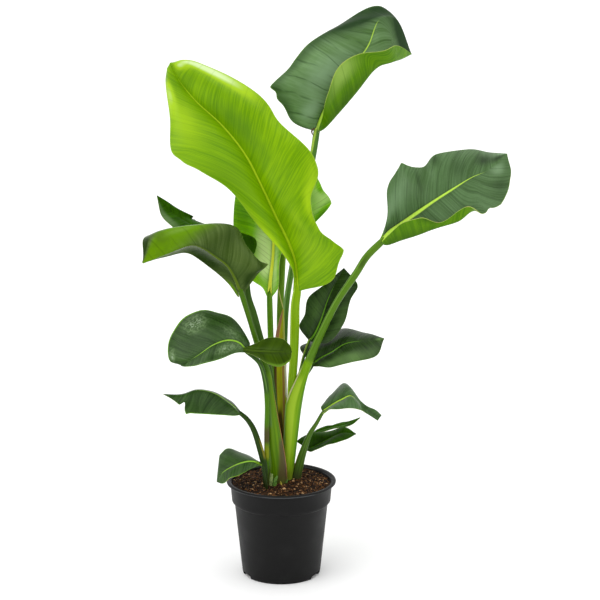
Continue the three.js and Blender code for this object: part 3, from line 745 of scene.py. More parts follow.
# %% Corners, swells and curls
# Each entry: side, place along, reach along, and mm. A corner is drawn out to a point, a swell
# is rounded, and both go inwards when they are below 0. A curl bends the margin backwards, and
# a droop bends the last part of a whole blade back, by that many mm at its tip.
CORNERS = {
    "tall": [(1, 0.222, 0.04, 4)],
    "top": [(-1, 0.43, 0.03, 4)],
    "right": [(-1, 0.378, 0.028, 6), (1, 0.79, 0.04, 4), (1, 0.745, 0.025, -6)],
    "left": [(-1, 0.286, 0.06, 6)],
    "rear": [(1, 0.4, 0.05, 3)],
    "low_left": [(-1, 0.6, 0.04, 4)],
    "lowest_left": [(1, 0.75, 0.08, 4)],
}
SWELLS = {
    "tall": [
        (1, 0.62, 0.045, 11), (1, 0.7, 0.03, -5), (1, 0.81, 0.06, 2.5), (1, 0.345, 0.03, 3),
        (1, 0.165, 0.035, -6), (1, 0.255, 0.02, -4), (1, 0.06, 0.04, 3), (-1, 0.52, 0.07, 2),
        (-1, 0.64, 0.025, -4), (1, 0.965, 0.025, 3), (-1, 0.965, 0.02, 2), (1, 0.87, 0.04, -2.5),
    ],
    "top": [
        (-1, 0.5, 0.04, -8), (-1, 0.385, 0.03, -8), (-1, 0.63, 0.06, 8), (-1, 0.2, 0.06, 6),
        (-1, 0.92, 0.04, 3),
    ],
    "right": [
        (-1, 0.06, 0.09, -15), (-1, 0.43, 0.03, -3), (-1, 0.32, 0.03, -3), (1, 0.82, 0.04, 4),
        (1, 0.68, 0.04, 12), (1, 0.88, 0.03, -2),
    ],
    "left": [(-1, 0.93, 0.05, -4), (1, 0.9, 0.08, -2)],
    "left_rear": [(1, 0.88, 0.05, -4), (1, 0.78, 0.028, 7), (1, 0.71, 0.022, 7)],
    "centre": [(-1, 0.09, 0.06, -9)],
    "rear": [(1, 0.3, 0.05, -5), (1, 0.5, 0.05, -5)],
    "mid_left": [(1, 0.41, 0.05, -4), (1, 0.585, 0.05, 5), (1, 0.93, 0.05, 4)],
    "low_left": [(-1, 0.685, 0.035, -14)],
    "low_right": [(-1, 0.93, 0.07, 4)],
    "lower_right": [(-1, 0.12, 0.06, 5)],
    "narrow_right": [(-1, 0.72, 0.07, 3), (-1, 0.5, 0.06, -2)],
}
CURLS = {
    "tall": [(1, 0.86, 0.12, 26), (-1, 0.84, 0.12, 20), (-1, 0.36, 0.12, 8)],
}
TIP_DROOPS = {"tall": 9}

# %% Painted light and shade
# painted light and shade on a blade: across -1 to 1, along 0 to 1, reach across, reach along, and
# strength: painted light above 0, painted shade below
UPPER_PAINTED_LIGHT = {
    "tall": [
        (0.3, 0.68, 0.28, 0.1, -0.6), (-0.75, 0.5, 0.35, 0.1, -0.5), (0.6, 0.5, 0.3, 0.12, 0.2),
        (0.45, 0.2, 0.4, 0.12, 0.4), (-0.6, 0.68, 0.35, 0.09, 0.4), (0.4, 0.86, 0.3, 0.06, -0.3),
        (0.3, 0.8, 0.3, 0.06, 0.3), (0.88, 0.86, 0.13, 0.08, 2.4), (-0.85, 0.84, 0.2, 0.05, 1.4),
        (0.55, 0.94, 0.3, 0.03, 0.9), (-0.6, 0.76, 0.4, 0.06, 0.45), (0.95, 0.46, 0.1, 0.12, 0.8),
        (-0.95, 0.25, 0.2, 0.12, 0.9), (0.6, 0.93, 0.3, 0.05, 0.9), (0.5, 0.62, 0.1, 0.05, 0.25),
        (0.6, 0.35, 0.12, 0.05, 0.3),
    ],
    "top": [
        (-0.3, 0.42, 0.35, 0.14, 0.7), (-0.55, 0.75, 0.5, 0.1, -1.7), (-0.2, 0.9, 0.7, 0.09, -1.2),
        (0.2, 0.88, 0.2, 0.07, -0.7), (0.0, 1.0, 1.0, 0.08, -0.5), (-1.0, 0.27, 0.14, 0.2, -0.7),
        (-0.5, 0.2, 0.3, 0.06, 0.8), (-0.95, 0.56, 0.16, 0.14, -0.6),
    ],
    "right": [
        (-0.5, 0.84, 0.25, 0.05, -0.9), (-0.35, 0.94, 0.25, 0.05, -0.9),
        (0.3, 0.9, 0.35, 0.05, 0.8), (0.7, 0.84, 0.3, 0.04, -0.5), (-0.2, 0.15, 0.2, 0.08, -0.6),
        (-0.5, 0.22, 0.35, 0.12, 0.6), (-0.8, 0.97, 0.2, 0.03, 1.6), (-0.85, 0.6, 0.2, 0.03, -0.6),
        (-0.6, 0.45, 0.3, 0.012, -0.6), (-0.4, 0.7, 0.3, 0.05, -0.4), (-0.5, 0.35, 0.3, 0.07, 0.3),
        (0.3, 0.6, 0.3, 0.15, 0.2), (-0.6, 0.55, 0.3, 0.04, 0.3),
    ],
    "left_rear": [
        (-0.8, 0.8, 0.3, 0.2, 1.0), (0.6, 0.35, 0.6, 0.2, -0.5), (1.0, 0.7, 0.2, 0.1, -1.0),
    ],
    "centre": [
        (-0.75, 0.56, 0.4, 0.12, -0.4), (-0.25, 0.4, 0.3, 0.2, 0.9), (-0.3, 0.25, 0.3, 0.08, 0.5),
        (0.5, 0.25, 0.4, 0.2, 0.6),
    ],
    "rear": [
        (0.8, 0.45, 0.4, 0.15, 0.65), (0.95, 0.34, 0.14, 0.06, -1.0), (0.9, 0.52, 0.1, 0.04, -0.6),
    ],
    "mid_left": [
        (0.7, 0.55, 0.22, 0.06, 2.0), (0.3, 0.3, 0.3, 0.1, 0.8), (0.4, 0.68, 0.3, 0.08, -0.2),
        (-1.0, 0.5, 0.1, 0.4, 0.8), (0.8, 0.82, 0.12, 0.06, 1.8), (-0.3, 0.15, 0.4, 0.12, 0.8),
        (-0.5, 0.32, 0.25, 0.1, 1.5),
    ],
    "mid_right": [
        (0.8, 0.55, 0.3, 0.3, 1.0), (-0.6, 0.5, 0.4, 0.3, -0.6), (0.0, 0.97, 0.5, 0.04, 1.0),
    ],
    "mid_rear": [(0.9, 0.4, 0.3, 0.3, 0.5), (-0.4, 0.5, 0.4, 0.3, 0.5)],
    "low_left": [(-0.6, 0.5, 0.3, 0.3, -0.2), (0.6, 0.5, 0.4, 0.4, 0.2)],
    "lowest_left": [(0.5, 0.5, 0.5, 0.3, 0.3)],
    "low_right": [
        (0.0, 0.9, 0.8, 0.12, -0.5), (-0.7, 0.4, 0.3, 0.2, -0.5), (0.6, 0.4, 0.4, 0.2, 0.4),
    ],
    "lower_right": [(0.0, 0.4, 1.2, 0.6, -0.8)],
    "narrow_right": [(0.0, 0.4, 1.2, 0.5, 0.2)],
}
UNDER_PAINTED_LIGHT = {
    "top": [(0.95, 0.45, 0.2, 0.1, 0.9), (0.6, 0.35, 0.15, 0.2, -0.6), (0.9, 0.3, 0.1, 0.1, 0.3)],
    "right": [
        (0.6, 0.3, 0.18, 0.25, -0.5), (0.95, 0.42, 0.1, 0.06, -0.7), (0.7, 0.15, 0.3, 0.06, -0.3),
    ],
    "left": [
        (-0.3, 0.86, 0.6, 0.2, 0.85), (0.4, 0.95, 0.6, 0.1, 0.7), (-0.4, 0.76, 0.12, 0.1, 0.55),
        (-0.85, 0.93, 0.25, 0.06, -2.6), (-0.5, 0.12, 0.3, 0.13, -1.1),
        (0.55, 0.35, 0.45, 0.25, -0.75), (0.6, 0.6, 0.5, 0.12, -0.7), (0.9, 0.5, 0.3, 0.2, -0.7),
        (-0.4, 0.52, 0.45, 0.1, -0.5), (-0.7, 0.3, 0.12, 0.15, -0.6),
        (0.05, 0.3, 0.12, 0.25, -0.5), (0.95, 0.25, 0.3, 0.13, 1.4),
    ],
    "mid_left_lobe": [(-0.95, 0.6, 0.12, 0.3, 1.0), (0.3, 0.15, 0.4, 0.1, 0.3)],
}

# %% [markdown]
# ## Blades
#
# A paddle is a thin curved sheet with a stiff midrib. A subdivision surface over the CAD solid
# would round off its margins, so the blade starts as a flat grid instead. One axis of the grid
# runs from margin to margin and the other from stalk to tip, and each vertex is moved onto the
# surface that the guides describe. Extruding the sheet gives it an underside, pushed further
# down along the rib, and a separate finish for each side and for the edge.


# %% Frame at an end of the rib
def rib_frame(leaf, end=0):
    """Origin, along, across and up at the stalk's end (0) or the tip's (-1)."""
    along = GuideCurve(metres(leaf["rib"])).direction(0.0 if end == 0 else 1.0)
    across = Vector(leaf["right"][end]) - Vector(leaf["left"][end])
    across = (across - along * across.dot(along)).normalized()
    return Vector(leaf["rib"][end]) * MM, along, across, across.cross(along)


# %% Guides of one half
# Half the width of a blade at its very tip, in mm. Only one leaf ends flat.
TIP_HALF_WIDTHS = {"low_right": 6.0}
USUAL_TIP_HALF_WIDTH = 0.9


def half_guides(leaf, margin, fold, side, tip_half_width):
    """The curves that a half is stretched over, from its fold, if any, to its margin."""
    origin, _, across, _ = rib_frame(leaf)
    tip, _, tip_across, _ = rib_frame(leaf, -1)
    start = origin + across * side * leaf["neck"][0] * MM
    finish = tip + tip_across * side * tip_half_width * MM
    margin = metres(margin)
    guides = [GuideCurve([start, *margin, finish])]
    if fold:
        rib = metres(leaf["rib"])
        crest = metres(fold)
        for station in range(len(crest), len(margin)):
            crest.append(rib[station + 1].lerp(margin[station], 0.5))
        guides.insert(0, GuideCurve([origin.lerp(start, 0.5), *crest, tip.lerp(finish, 0.5)]))
    return guides


# %% The surface of a blade
CUPPING = 0.07
RIPPLE_FADE = 0.7
RIPPLE_OFFSET = 1.7
BACKWARDS = Vector((-0.06, 0.988, -0.14))
TIP_START = 0.88
GROOVE_DEPTH = 0.7 * MM
GROOVE_WIDTH = 3 * MM


def blade_surface(name, ripple, waves):
    """A function that gives the point of the upper side at (across -1 to 1, along 0 to 1)."""
    leaf = LEAVES[name]
    rib = GuideCurve(metres(leaf["rib"]))
    tip_width = TIP_HALF_WIDTHS.get(name, USUAL_TIP_HALF_WIDTH)
    halves = {
        -1: half_guides(leaf, leaf["left"], leaf.get("left_fold"), -1, tip_width),
        1: half_guides(leaf, leaf["right"], leaf.get("right_fold"), 1, tip_width),
    }
    cache = {}

    def corner(side, along):
        """How far out the margin is drawn into a point here, in mm."""
        return sum(
            reach_out * max(0.0, 1 - abs(along - place) / width) ** 1.5
            for own_side, place, width, reach_out in CORNERS.get(name, [])
            if own_side == side
        )

    def soft(entries, side, along):
        """The sum of rounded swells or curls here, in mm."""
        return sum(
            amount * math.exp(-(((along - place) / width) ** 2))
            for own_side, place, width, amount in entries
            if own_side == side
        )

    def section(side, along):
        """What all points of one half at this place along the rib share, worked out once."""
        key = (side, round(along, 6))
        if key not in cache:
            centre = rib.at(along)
            stops = [guide.at(along) for guide in halves[side]]
            reach = stops[-1] - centre
            up = (reach * side).cross(rib.direction(along)).normalized()
            push = corner(side, along) + soft(SWELLS.get(name, []), side, along)
            last_stretch = stops[-1] - (stops[0] if len(stops) > 1 else centre)
            outward = last_stretch.normalized() * push * MM
            roll = BACKWARDS * soft(CURLS.get(name, []), side, along) * MM
            line = GuideCurve([centre, *stops])
            cache[key] = (line, reach.length, up, len(stops) == 1, outward, roll)
        return cache[key]

    def point(across, along):
        """The point and its distance from the rib, below 0 on the left half."""
        side = -1 if across < 0 else 1
        t = abs(across)
        line, width, up, flat, pull, roll = section(side, along)
        bulge = CUPPING * width * 4 * t * (1 - t) if flat else 0.0
        calm = math.sin(math.pi * along) ** RIPPLE_FADE
        phase = 2 * math.pi * waves * along + RIPPLE_OFFSET * side
        wave = math.sin(phase) * ripple * MM * t**2 * calm
        groove = GROOVE_DEPTH * math.exp(-((t * width / GROOVE_WIDTH) ** 2)) * (1 - along)
        near_tip = max(0.0, (along - TIP_START) / (1 - TIP_START)) ** 2
        drooped = BACKWARDS * TIP_DROOPS.get(name, 0.0) * MM * near_tip
        place = line.at(t) + up * (bulge + wave - groove) + pull * t**4 + roll * t**6 + drooped
        return place, width * t * side

    return point


# %% Bending a grid into a blade
ROWS_PER_STATION = 12
HALF_COLUMNS = 22
COLUMN_SPACING_AT_RIB = 0.45
BLADE_THICKNESS = 0.9 * MM
RIB_DEPTH = 3.2 * MM
RIB_RIDGE_WIDTH = 3 * MM
RIB_TAPER = 1.5
RIB_SAMPLES = 240
# how many times wider than usual a leaf's rib is drawn
STOUT_RIBS = {"low_right": 1.7}


def grid_bmesh(columns, rows):
    """A flat grid from -1 to 1 each way, whose vertices remember where they began."""
    bm = bmesh.new()
    bmesh.ops.create_grid(bm, x_segments=columns, y_segments=rows, size=1)
    across = bm.verts.layers.float.new("across")
    along = bm.verts.layers.float.new("along")
    for vert in bm.verts:
        vert[across] = vert.co.x
        vert[along] = (vert.co.y + 1) / 2
    return bm, across, along


def painted_light_and_tone(spots, across, along):
    """Sum of soft spots of painted light and shade at a place on the blade."""
    return sum(
        strength * math.exp(-(((across - a) / wide) ** 2) - ((along - s) / long) ** 2)
        for a, s, wide, long, strength in spots
    )


def rib_places(leaf):
    """A function that gives how far along the rib the foot of any point lies, in metres."""
    rib = GuideCurve(metres(leaf["rib"]))
    tree = kdtree.KDTree(RIB_SAMPLES + 1)
    places = [rib.at(index / RIB_SAMPLES) for index in range(RIB_SAMPLES + 1)]
    travelled = [0.0]
    for before, after in zip(places, places[1:]):
        travelled.append(travelled[-1] + (after - before).length)
    for index, place in enumerate(places):
        tree.insert(place, index)
    tree.balance()

    def foot(point):
        nearest, index, _ = tree.find(point)
        return travelled[index] + (point - nearest).dot(rib.direction(index / RIB_SAMPLES))

    return foot


def blade_sheet(name, look):
    """The upper side of a blade as an open sheet whose vertices know their place on it."""
    leaf = LEAVES[name]
    _, _, sweeps, ripple, waves, rib_end = look
    stoutness = STOUT_RIBS.get(name, 1.0)
    surface = blade_surface(name, ripple, waves)
    foot = rib_places(leaf)
    rows = (len(leaf["rib"]) - 1) * ROWS_PER_STATION
    bm, across, along = grid_bmesh(2 * HALF_COLUMNS, rows)
    off_rib_layer = bm.verts.layers.float.new("off_rib")
    swept_layer = bm.verts.layers.float.new("swept")
    painted_light_and_tone_layer = bm.verts.layers.float.new("painted_light_and_tone")
    rib_layer = bm.verts.layers.float.new("rib")
    for vert in bm.verts:
        start = vert[across]
        gathered = COLUMN_SPACING_AT_RIB + (1 - COLUMN_SPACING_AT_RIB) * abs(start)
        spread = start * gathered
        vert.co, vert[off_rib_layer] = surface(spread, vert[along])
        vert[across] = spread
        sweep = sweeps[0] if spread < 0 else sweeps[1]
        vert[swept_layer] = foot(vert.co) - sweep * abs(vert[off_rib_layer])
        vert[painted_light_and_tone_layer] = painted_light_and_tone(UPPER_PAINTED_LIGHT.get(name, []), spread, vert[along])
        vert[rib_layer] = stoutness * max(0.0, 1 - (vert[along] / rib_end) ** RIB_TAPER)
    return bm


def give_underside(bm, name):
    """Turns the sheet into a closed thin body with a raised midrib below."""
    layers = bm.verts.layers.float
    off_rib_layer, across, along = layers["off_rib"], layers["across"], layers["along"]
    painted_light_and_tone_layer = layers["painted_light_and_tone"]
    normal_layer = bm.verts.layers.float_vector.new("up")
    under_layer = layers.new("under")
    bm.normal_update()
    for vert in bm.verts:
        vert[normal_layer] = vert.normal
    bmesh.ops.triangulate(bm, faces=bm.faces, quad_method="FIXED")
    made = bmesh.ops.extrude_face_region(bm, geom=bm.faces[:], use_keep_orig=True)
    for vert in (piece for piece in made["geom"] if isinstance(piece, bmesh.types.BMVert)):
        ridge_width = RIB_RIDGE_WIDTH * (1.1 - 0.7 * vert[along])
        ridge = math.exp(-((vert[off_rib_layer] / ridge_width) ** 2))
        depth = BLADE_THICKNESS + RIB_DEPTH * (1 - 0.8 * vert[along]) * ridge
        vert.co -= vert[normal_layer] * depth
        vert[under_layer] = 1.0
        vert[painted_light_and_tone_layer] = painted_light_and_tone(UNDER_PAINTED_LIGHT.get(name, []), vert[across], vert[along])
    bmesh.ops.recalc_face_normals(bm, faces=bm.faces)


# %% Finishing a blade
def paint_blade(bm):
    """Sets the two UV maps, and gives upper side, underside and edge their material numbers."""
    layers = bm.verts.layers.float
    across, along = layers["across"], layers["along"]
    off_rib_layer, swept_layer, under_layer = layers["off_rib"], layers["swept"], layers["under"]
    vein_map = bm.loops.layers.uv.new("veins")
    place_map = bm.loops.layers.uv.new("place")
    for face in bm.faces:
        below = sum(vert[under_layer] for vert in face.verts) / len(face.verts)
        face.material_index = 0 if below == 0 else 1 if below == 1 else 2
        face.smooth = True
        for loop in face.loops:
            vert = loop.vert
            loop[vein_map].uv = (vert[off_rib_layer], vert[swept_layer])
            loop[place_map].uv = (0.5 + 0.5 * vert[across], vert[along])
    for edge in bm.edges:
        edge.smooth = len({face.material_index for face in edge.link_faces}) == 1


def mesh_object(bm, name, materials):
    """Turns a bmesh into an object at the origin, on the part's one body."""
    mesh = bpy.data.meshes.new(name)
    bm.to_mesh(mesh)
    bm.free()
    for material in materials:
        mesh.materials.append(material)
    piece = bpy.data.objects.new(name, mesh)
    scene.collection.objects.link(piece)
    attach(piece, "root")
    return piece


# %% Edge finish
edge_finish, tree, shader = new_material("blade_edge")
edge_place = add_node(tree, "UVMap", uv_map="place")
edge_inputs = {"Vector": edge_place.outputs[0], "Scale": 30.0}
dry_spots = ramp(tree, add_node(tree, "TexNoise", edge_inputs).outputs["Fac"], 0.45, 0.65)
edge_colour = mix_colours(tree, dry_spots, PALE_EDGE, colour(170, 140, 90))
set_surface(tree, shader, edge_colour, roughness=0.5)

# %% Make all the blades
blade_objects = {}
for leaf_name, leaf in LEAVES.items():
    look = LOOKS[leaf_name]
    blade_bm = blade_sheet(leaf_name, look)
    give_underside(blade_bm, leaf_name)
    paint_blade(blade_bm)
    upper, under = finishes[look[0]], finishes[look[1]]
    blade = mesh_object(blade_bm, f"leaf_{leaf_name}", [upper, under, edge_finish])
    blade_objects[leaf_name] = blade
    print(blade.name, len(blade.data.polygons), "faces")

for leaf_name, blade in blade_objects.items():
    if leaf_name == "mid_left_lobe":
        continue
    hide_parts(f"blade_{leaf_name}")

# %% [markdown]
# ## Stalks
#
# A stalk is a fleshy tube, oval in section, with a shallow channel on the side that becomes the
# upper side of the blade. It is the same kind of grid as a blade, wrapped round until its two
# long edges meet and are merged. Its top runs on under the blade as the root of the midrib.


# %% Stalk geometry
STALK_SIDES = 28
ROWS_PER_STRETCH = 10
ROOT_DEPTH = 24
CHANNEL_DEPTH = 0.16
CHANNEL_SHARPNESS = 12
MERGE_DISTANCE = 1e-6
AWAY = Vector((0, 1, 0))
# under the blade: share of the rib's first stretch, and what is left of the stalk's size there
RIB_ROOT = ((0.25, 0.6), (0.5, 0.3))
BELOW_RIB = 0.8 * MM


def stations_from(rows, rooted=False):
    """Place, half width and half depth of each row in metres, with a foot in the soil if rooted."""
    if rooted:
        x, y, z, wide, deep = rows[0]
        rows = [(x, y, z - ROOT_DEPTH, wide, deep), *rows]
    return [(Vector(row[:3]) * MM, row[3] * MM, row[4] * MM) for row in rows]


def stalk_stations(leaf):
    """The stalk's stations, from its foot in the soil to its end under the blade."""
    origin, _, _, up = rib_frame(leaf)
    stations = stations_from(leaf["stalk"], rooted=True)
    wide, deep = leaf["neck"][0] * MM, leaf["neck"][1] * MM
    stations.append((origin - up * 0.5 * deep, wide, deep))
    rib = GuideCurve(metres(leaf["rib"]))
    for share, size in RIB_ROOT:
        reach = share / (len(leaf["rib"]) - 1)
        sunk = 0.5 * deep * size + BELOW_RIB
        stations.append((rib.at(reach) - up * sunk, wide * size, deep * size))
    return stations


def tube_bmesh(stations, channel_side=None, sides=STALK_SIDES):
    """An oval tube along the stations, its ends closed."""
    route = GuideCurve([place for place, _, _ in stations])
    sizes = GuideCurve([(wide, deep, 0) for _, wide, deep in stations])
    bm, around, along = grid_bmesh(sides, (len(stations) - 1) * ROWS_PER_STRETCH)
    wrap_map = bm.loops.layers.uv.new("wrap")
    for face in bm.faces:
        face.smooth = True
        for loop in face.loops:
            height = route.at(loop.vert[along]).z
            loop[wrap_map].uv = (0.5 + 0.5 * loop.vert[around], height)
    for vert in bm.verts:
        share = vert[along]
        angle = math.pi * vert[around]
        heading = route.direction(share)
        side = AWAY.cross(heading).normalized()
        depth_axis = side.cross(heading)
        wide, deep, _ = sizes.at(share)
        outward = side * math.sin(angle) + depth_axis * math.cos(angle)
        fullness = 1.0
        if channel_side:
            facing = max(0.0, outward.dot(channel_side))
            fullness -= CHANNEL_DEPTH * facing**CHANNEL_SHARPNESS
        offset = side * math.sin(angle) * wide + depth_axis * math.cos(angle) * deep
        vert.co = route.at(share) + offset * fullness
    bmesh.ops.remove_doubles(bm, verts=bm.verts, dist=MERGE_DISTANCE)
    bmesh.ops.holes_fill(bm, edges=[edge for edge in bm.edges if edge.is_boundary], sides=0)
    bmesh.ops.recalc_face_normals(bm, faces=bm.faces)
    return bm


# %% [markdown]
# ## Stalk finishes
#
# The stalks are smooth, with fine lengthwise lines. Their UV map `wrap` runs round the stalk
# from 0 to 1, with the front at a half, and up it in metres above the floor. Old sheaths leave
# bands on them: brown flanks and cream or pinkish margins. Other bands are painted light and
# shade: painted highlights, the pale line of painted light where the light gets through, a paler
# strip of painted light down the lit left side of some stalks, and painted shade down the right
# side of one. Each band is given by where its two ends lie, how wide it is and its colour.


# %% Stalk material
SOIL_LINE = 0.178
BAND_START_FADE = 0.006
BAND_END_FADE = 0.012
BAND_STRENGTH = 0.92


def band_mask(tree, around, up, band):
    """1 inside a band that runs from a low place to a high place on the stalk."""
    low_around, low, high_around, high, half_width = band
    inputs = {0: up, 1: low, 2: high, 3: low_around, 4: high_around}
    middle = add_node(tree, "MapRange", inputs).outputs[0]
    off = distance_from(tree, around, middle)
    beside = ramp(tree, off, half_width * 0.5, half_width, 1.0, 0.0)
    starts = ramp(tree, up, low - BAND_START_FADE, low + BAND_START_FADE)
    ends = ramp(tree, up, high - BAND_END_FADE, high + BAND_END_FADE, 1.0, 0.0)
    return product(tree, beside, product(tree, starts, ends))


def stalk_material(name, body, line, foot, bands=(), foot_height=0.05, gloss=0.34, shine=0.22):
    """A stalk of two greens in fine lines, with its bands and the colour of its foot."""
    material, tree, shader = new_material(name)
    wrap = add_node(tree, "UVMap", uv_map="wrap")
    around, up = add_node(tree, "SeparateXYZ", {0: wrap.outputs[0]}).outputs[:2]
    stretched = {0: product(tree, around, 40.0), 1: product(tree, up, 6.0)}
    point = add_node(tree, "CombineXYZ", stretched)
    line_inputs = {"Vector": point.outputs[0], "Scale": 1.0, "Detail": 3.0}
    lines = add_node(tree, "TexNoise", line_inputs, noise_dimensions="2D").outputs["Fac"]
    green = mix_colours(tree, ramp(tree, lines, 0.35, 0.65), body, line)
    for *band, tint in bands:
        share = product(tree, band_mask(tree, around, up, band), BAND_STRENGTH)
        green = mix_colours(tree, share, green, tint)
    foot_share = ramp(tree, up, SOIL_LINE, SOIL_LINE + foot_height, 0.9, 0.0)
    green = mix_colours(tree, foot_share, green, foot)
    roughness = ramp(tree, lines, 0.3, 0.7, gloss - 0.05, gloss + 0.07)
    set_surface(tree, shader, green, roughness, shine, GREEN_SHINE, (0.3, 0.0004, lines))
    return material


BROWN_FOOT = colour(84, 76, 44)
CREAM = colour(220, 212, 160)
PINKISH = colour(196, 132, 84)

stalk_finishes = {
    "tall": stalk_material(
        "lime_stalk", colour(126, 166, 6), colour(112, 154, 0), colour(130, 150, 20),
        bands=[
            (0.34, 0.3, 0.34, 0.57, 0.05, colour(156, 190, 50)),
            (0.69, 0.3, 0.69, 0.57, 0.05, colour(150, 182, 44)),
        ],
    ),
    "right": stalk_material(
        "right_stalk", colour(124, 168, 10), colour(108, 152, 4), colour(128, 144, 40),
        bands=[
            (0.5, 0.425, 0.5, 0.68, 0.9, colour(78, 116, 24)),
            # Painted light: a paler strip down the lit left side of the upper stalk.
            (0.36, 0.425, 0.37, 0.62, 0.05, colour(108, 148, 52)),
            # Painted highlight down the front of the lower stalk.
            (0.45, 0.2, 0.45, 0.39, 0.11, colour(158, 192, 44)),
            # Painted shade down the right side of the lower stalk.
            (0.69, 0.2, 0.68, 0.4, 0.09, colour(88, 140, 4)),
            (0.3, 0.34, 0.31, 0.404, 0.04, CREAM),
            (0.5, 0.61, 0.5, 0.63, 0.12, colour(60, 90, 20)),
        ],
    ),
    "left": stalk_material(
        "left_stalk", colour(98, 136, 8), colour(76, 116, 2), colour(88, 100, 34),
        bands=[
            (0.5, 0.41, 0.5, 0.6, 0.9, colour(62, 100, 4)),
            # Painted light: a paler strip down the lit left side.
            (0.3, 0.4, 0.3, 0.56, 0.08, colour(64, 112, 4)),
            # Painted highlight on the front of the lower stalk.
            (0.42, 0.3, 0.45, 0.4, 0.08, colour(96, 134, 62)),
            (0.57, 0.17, 0.72, 0.27, 0.17, colour(84, 70, 46)),
            (0.7, 0.17, 0.73, 0.27, 0.1, colour(78, 62, 44)),
            (0.73, 0.25, 0.72, 0.3, 0.05, colour(84, 80, 36)),
            (0.73, 0.17, 0.72, 0.36, 0.03, PINKISH),
        ],
        foot_height=0.025,
    ),
    "mid_left": stalk_material(
        "mid_left_stalk", colour(78, 124, 6), colour(60, 102, 2), colour(60, 54, 30),
        bands=[
            (0.5, 0.37, 0.5, 0.46, 0.9, colour(48, 78, 26)),
            # Painted highlight: a pale line on the upper stalk.
            (0.55, 0.375, 0.5, 0.43, 0.05, colour(96, 134, 60)),
            (0.5, 0.268, 0.5, 0.3, 0.9, colour(74, 60, 34)),
            (0.45, 0.236, 0.45, 0.262, 0.3, colour(132, 140, 16)),
        ],
        foot_height=0.06,
    ),
    "low_left": stalk_material(
        "low_left_stalk", colour(38, 64, 12), colour(28, 50, 8), colour(34, 40, 14),
        bands=[(0.66, 0.24, 0.66, 0.272, 0.12, colour(124, 116, 30))],
    ),
    "low_right": stalk_material(
        "low_right_stalk", colour(80, 114, 36), colour(60, 92, 24), colour(64, 64, 40),
        bands=[(0.28, 0.17, 0.28, 0.228, 0.05, colour(200, 152, 84))], foot_height=0.04,
    ),
    "mid_rear": stalk_material(
        "mid_rear_stalk", colour(62, 90, 40), colour(50, 76, 30), colour(60, 70, 30),
        bands=[
            (0.33, 0.4, 0.36, 0.47, 0.14, colour(140, 176, 50)),
            (0.29, 0.402, 0.29, 0.44, 0.06, colour(180, 132, 70)),
        ],
    ),
    "rear": stalk_material(
        "rear_stalk", colour(104, 140, 34), colour(86, 122, 24), colour(96, 100, 40),
        bands=[
            (0.3, 0.45, 0.2, 0.56, 0.16, colour(84, 122, 34)),
            (0.64, 0.512, 0.29, 0.557, 0.035, colour(206, 196, 120)),
        ],
    ),
    "green": stalk_material(
        "green_stalk", colour(92, 142, 16), colour(72, 118, 8), BROWN_FOOT,
        bands=[(0.62, 0.3, 0.62, 0.9, 0.08, colour(96, 140, 40))],
    ),
    "pale": stalk_material(
        "pale_green_stalk", colour(92, 134, 54), colour(74, 116, 40), BROWN_FOOT,
        bands=[
            (0.38, 0.3, 0.38, 0.8, 0.07, colour(120, 158, 84)),
            (0.36, 0.8, 0.45, 0.87, 0.1, colour(176, 204, 80)),
            (0.66, 0.6, 0.66, 0.86, 0.12, colour(64, 104, 40)),
        ],
    ),
    "dark": stalk_material(
        "dark_stalk", colour(60, 94, 26), colour(47, 78, 18), BROWN_FOOT,
        bands=[(0.4, 0.3, 0.4, 0.6, 0.07, colour(80, 108, 52))],
    ),
}
STALK_LOOKS = {
    "tall": "tall", "right": "right", "left": "left", "low_right": "low_right",
    "mid_left": "mid_left", "low_left": "low_left", "lowest_left": "low_left",
    "left_rear": "dark", "lower_right": "dark", "narrow_right": "dark", "mid_right": "dark",
    "mid_rear": "mid_rear", "rear": "rear", "centre": "green", "top": "pale",
}

# %% Make all the stalks
for leaf_name, leaf in LEAVES.items():
    if "stalk" not in leaf:
        continue
    stalk_bm = tube_bmesh(stalk_stations(leaf), channel_side=rib_frame(leaf)[3])
    finish = stalk_finishes[STALK_LOOKS[leaf_name]]
    stalk = mesh_object(stalk_bm, f"stem_{leaf_name}", [finish])
    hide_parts(f"stalk_{leaf_name}")

# %% [markdown]
# ## The central sheath
#
# The stalks in the middle grew inside an older sheath that has withered to a thin skin with a
# pointed end. It is the same tube. Its finish is dark maroon along the left, partly its own
# colour and partly painted shadow in the gap beside the left stalk, olive in the middle, light
# brown with a pale margin on the right, and dull pink at the point.

# %% Central sheath
SHEATH = [
    (1, 30, 187, 10, 9), (0, 28, 276, 10.5, 9.5), (-1, 30, 366, 12, 10), (-2, 34, 453, 9.5, 9),
    (1, 38, 488, 5.5, 6), (4, 42, 512, 1.2, 1.5),
]
sheath_finish = stalk_material(
    "dry_sheath", colour(170, 174, 20), colour(142, 144, 16), colour(128, 108, 44),
    bands=[
        # Dark maroon strip along the left: partly the sheath's own colour, partly painted shadow in
        # the gap beside the left stalk.
        (0.34, 0.24, 0.335, 0.445, 0.085, colour(56, 20, 6)),
        (0.54, 0.24, 0.46, 0.32, 0.08, colour(56, 24, 12)),
        (0.58, 0.24, 0.58, 0.445, 0.04, colour(150, 112, 66)),
        (0.66, 0.345, 0.66, 0.445, 0.05, colour(206, 196, 178)),
        (0.34, 0.445, 0.42, 0.51, 0.14, colour(152, 100, 76)),
        (0.66, 0.445, 0.6, 0.505, 0.06, colour(160, 170, 70)),
        (0.55, 0.445, 0.55, 0.456, 0.05, colour(176, 84, 20)),
    ],
    gloss=0.5, shine=0.15,
)
sheath_bm = tube_bmesh(stations_from(SHEATH, rooted=True))
sheath = mesh_object(sheath_bm, "dry_sheath", [sheath_finish])
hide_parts("sheath_centre")

# %% [markdown]
# ## Small leftovers
#
# Old leaves leave traces: cut stubs and scraps of sheath at the foot of the stalks, and a
# withered curl where the top leaf's blade begins. They are short tubes of the same kind. Each
# one stands in the mix or grows out of the stalk beside it, and has a spotted finish of its own.

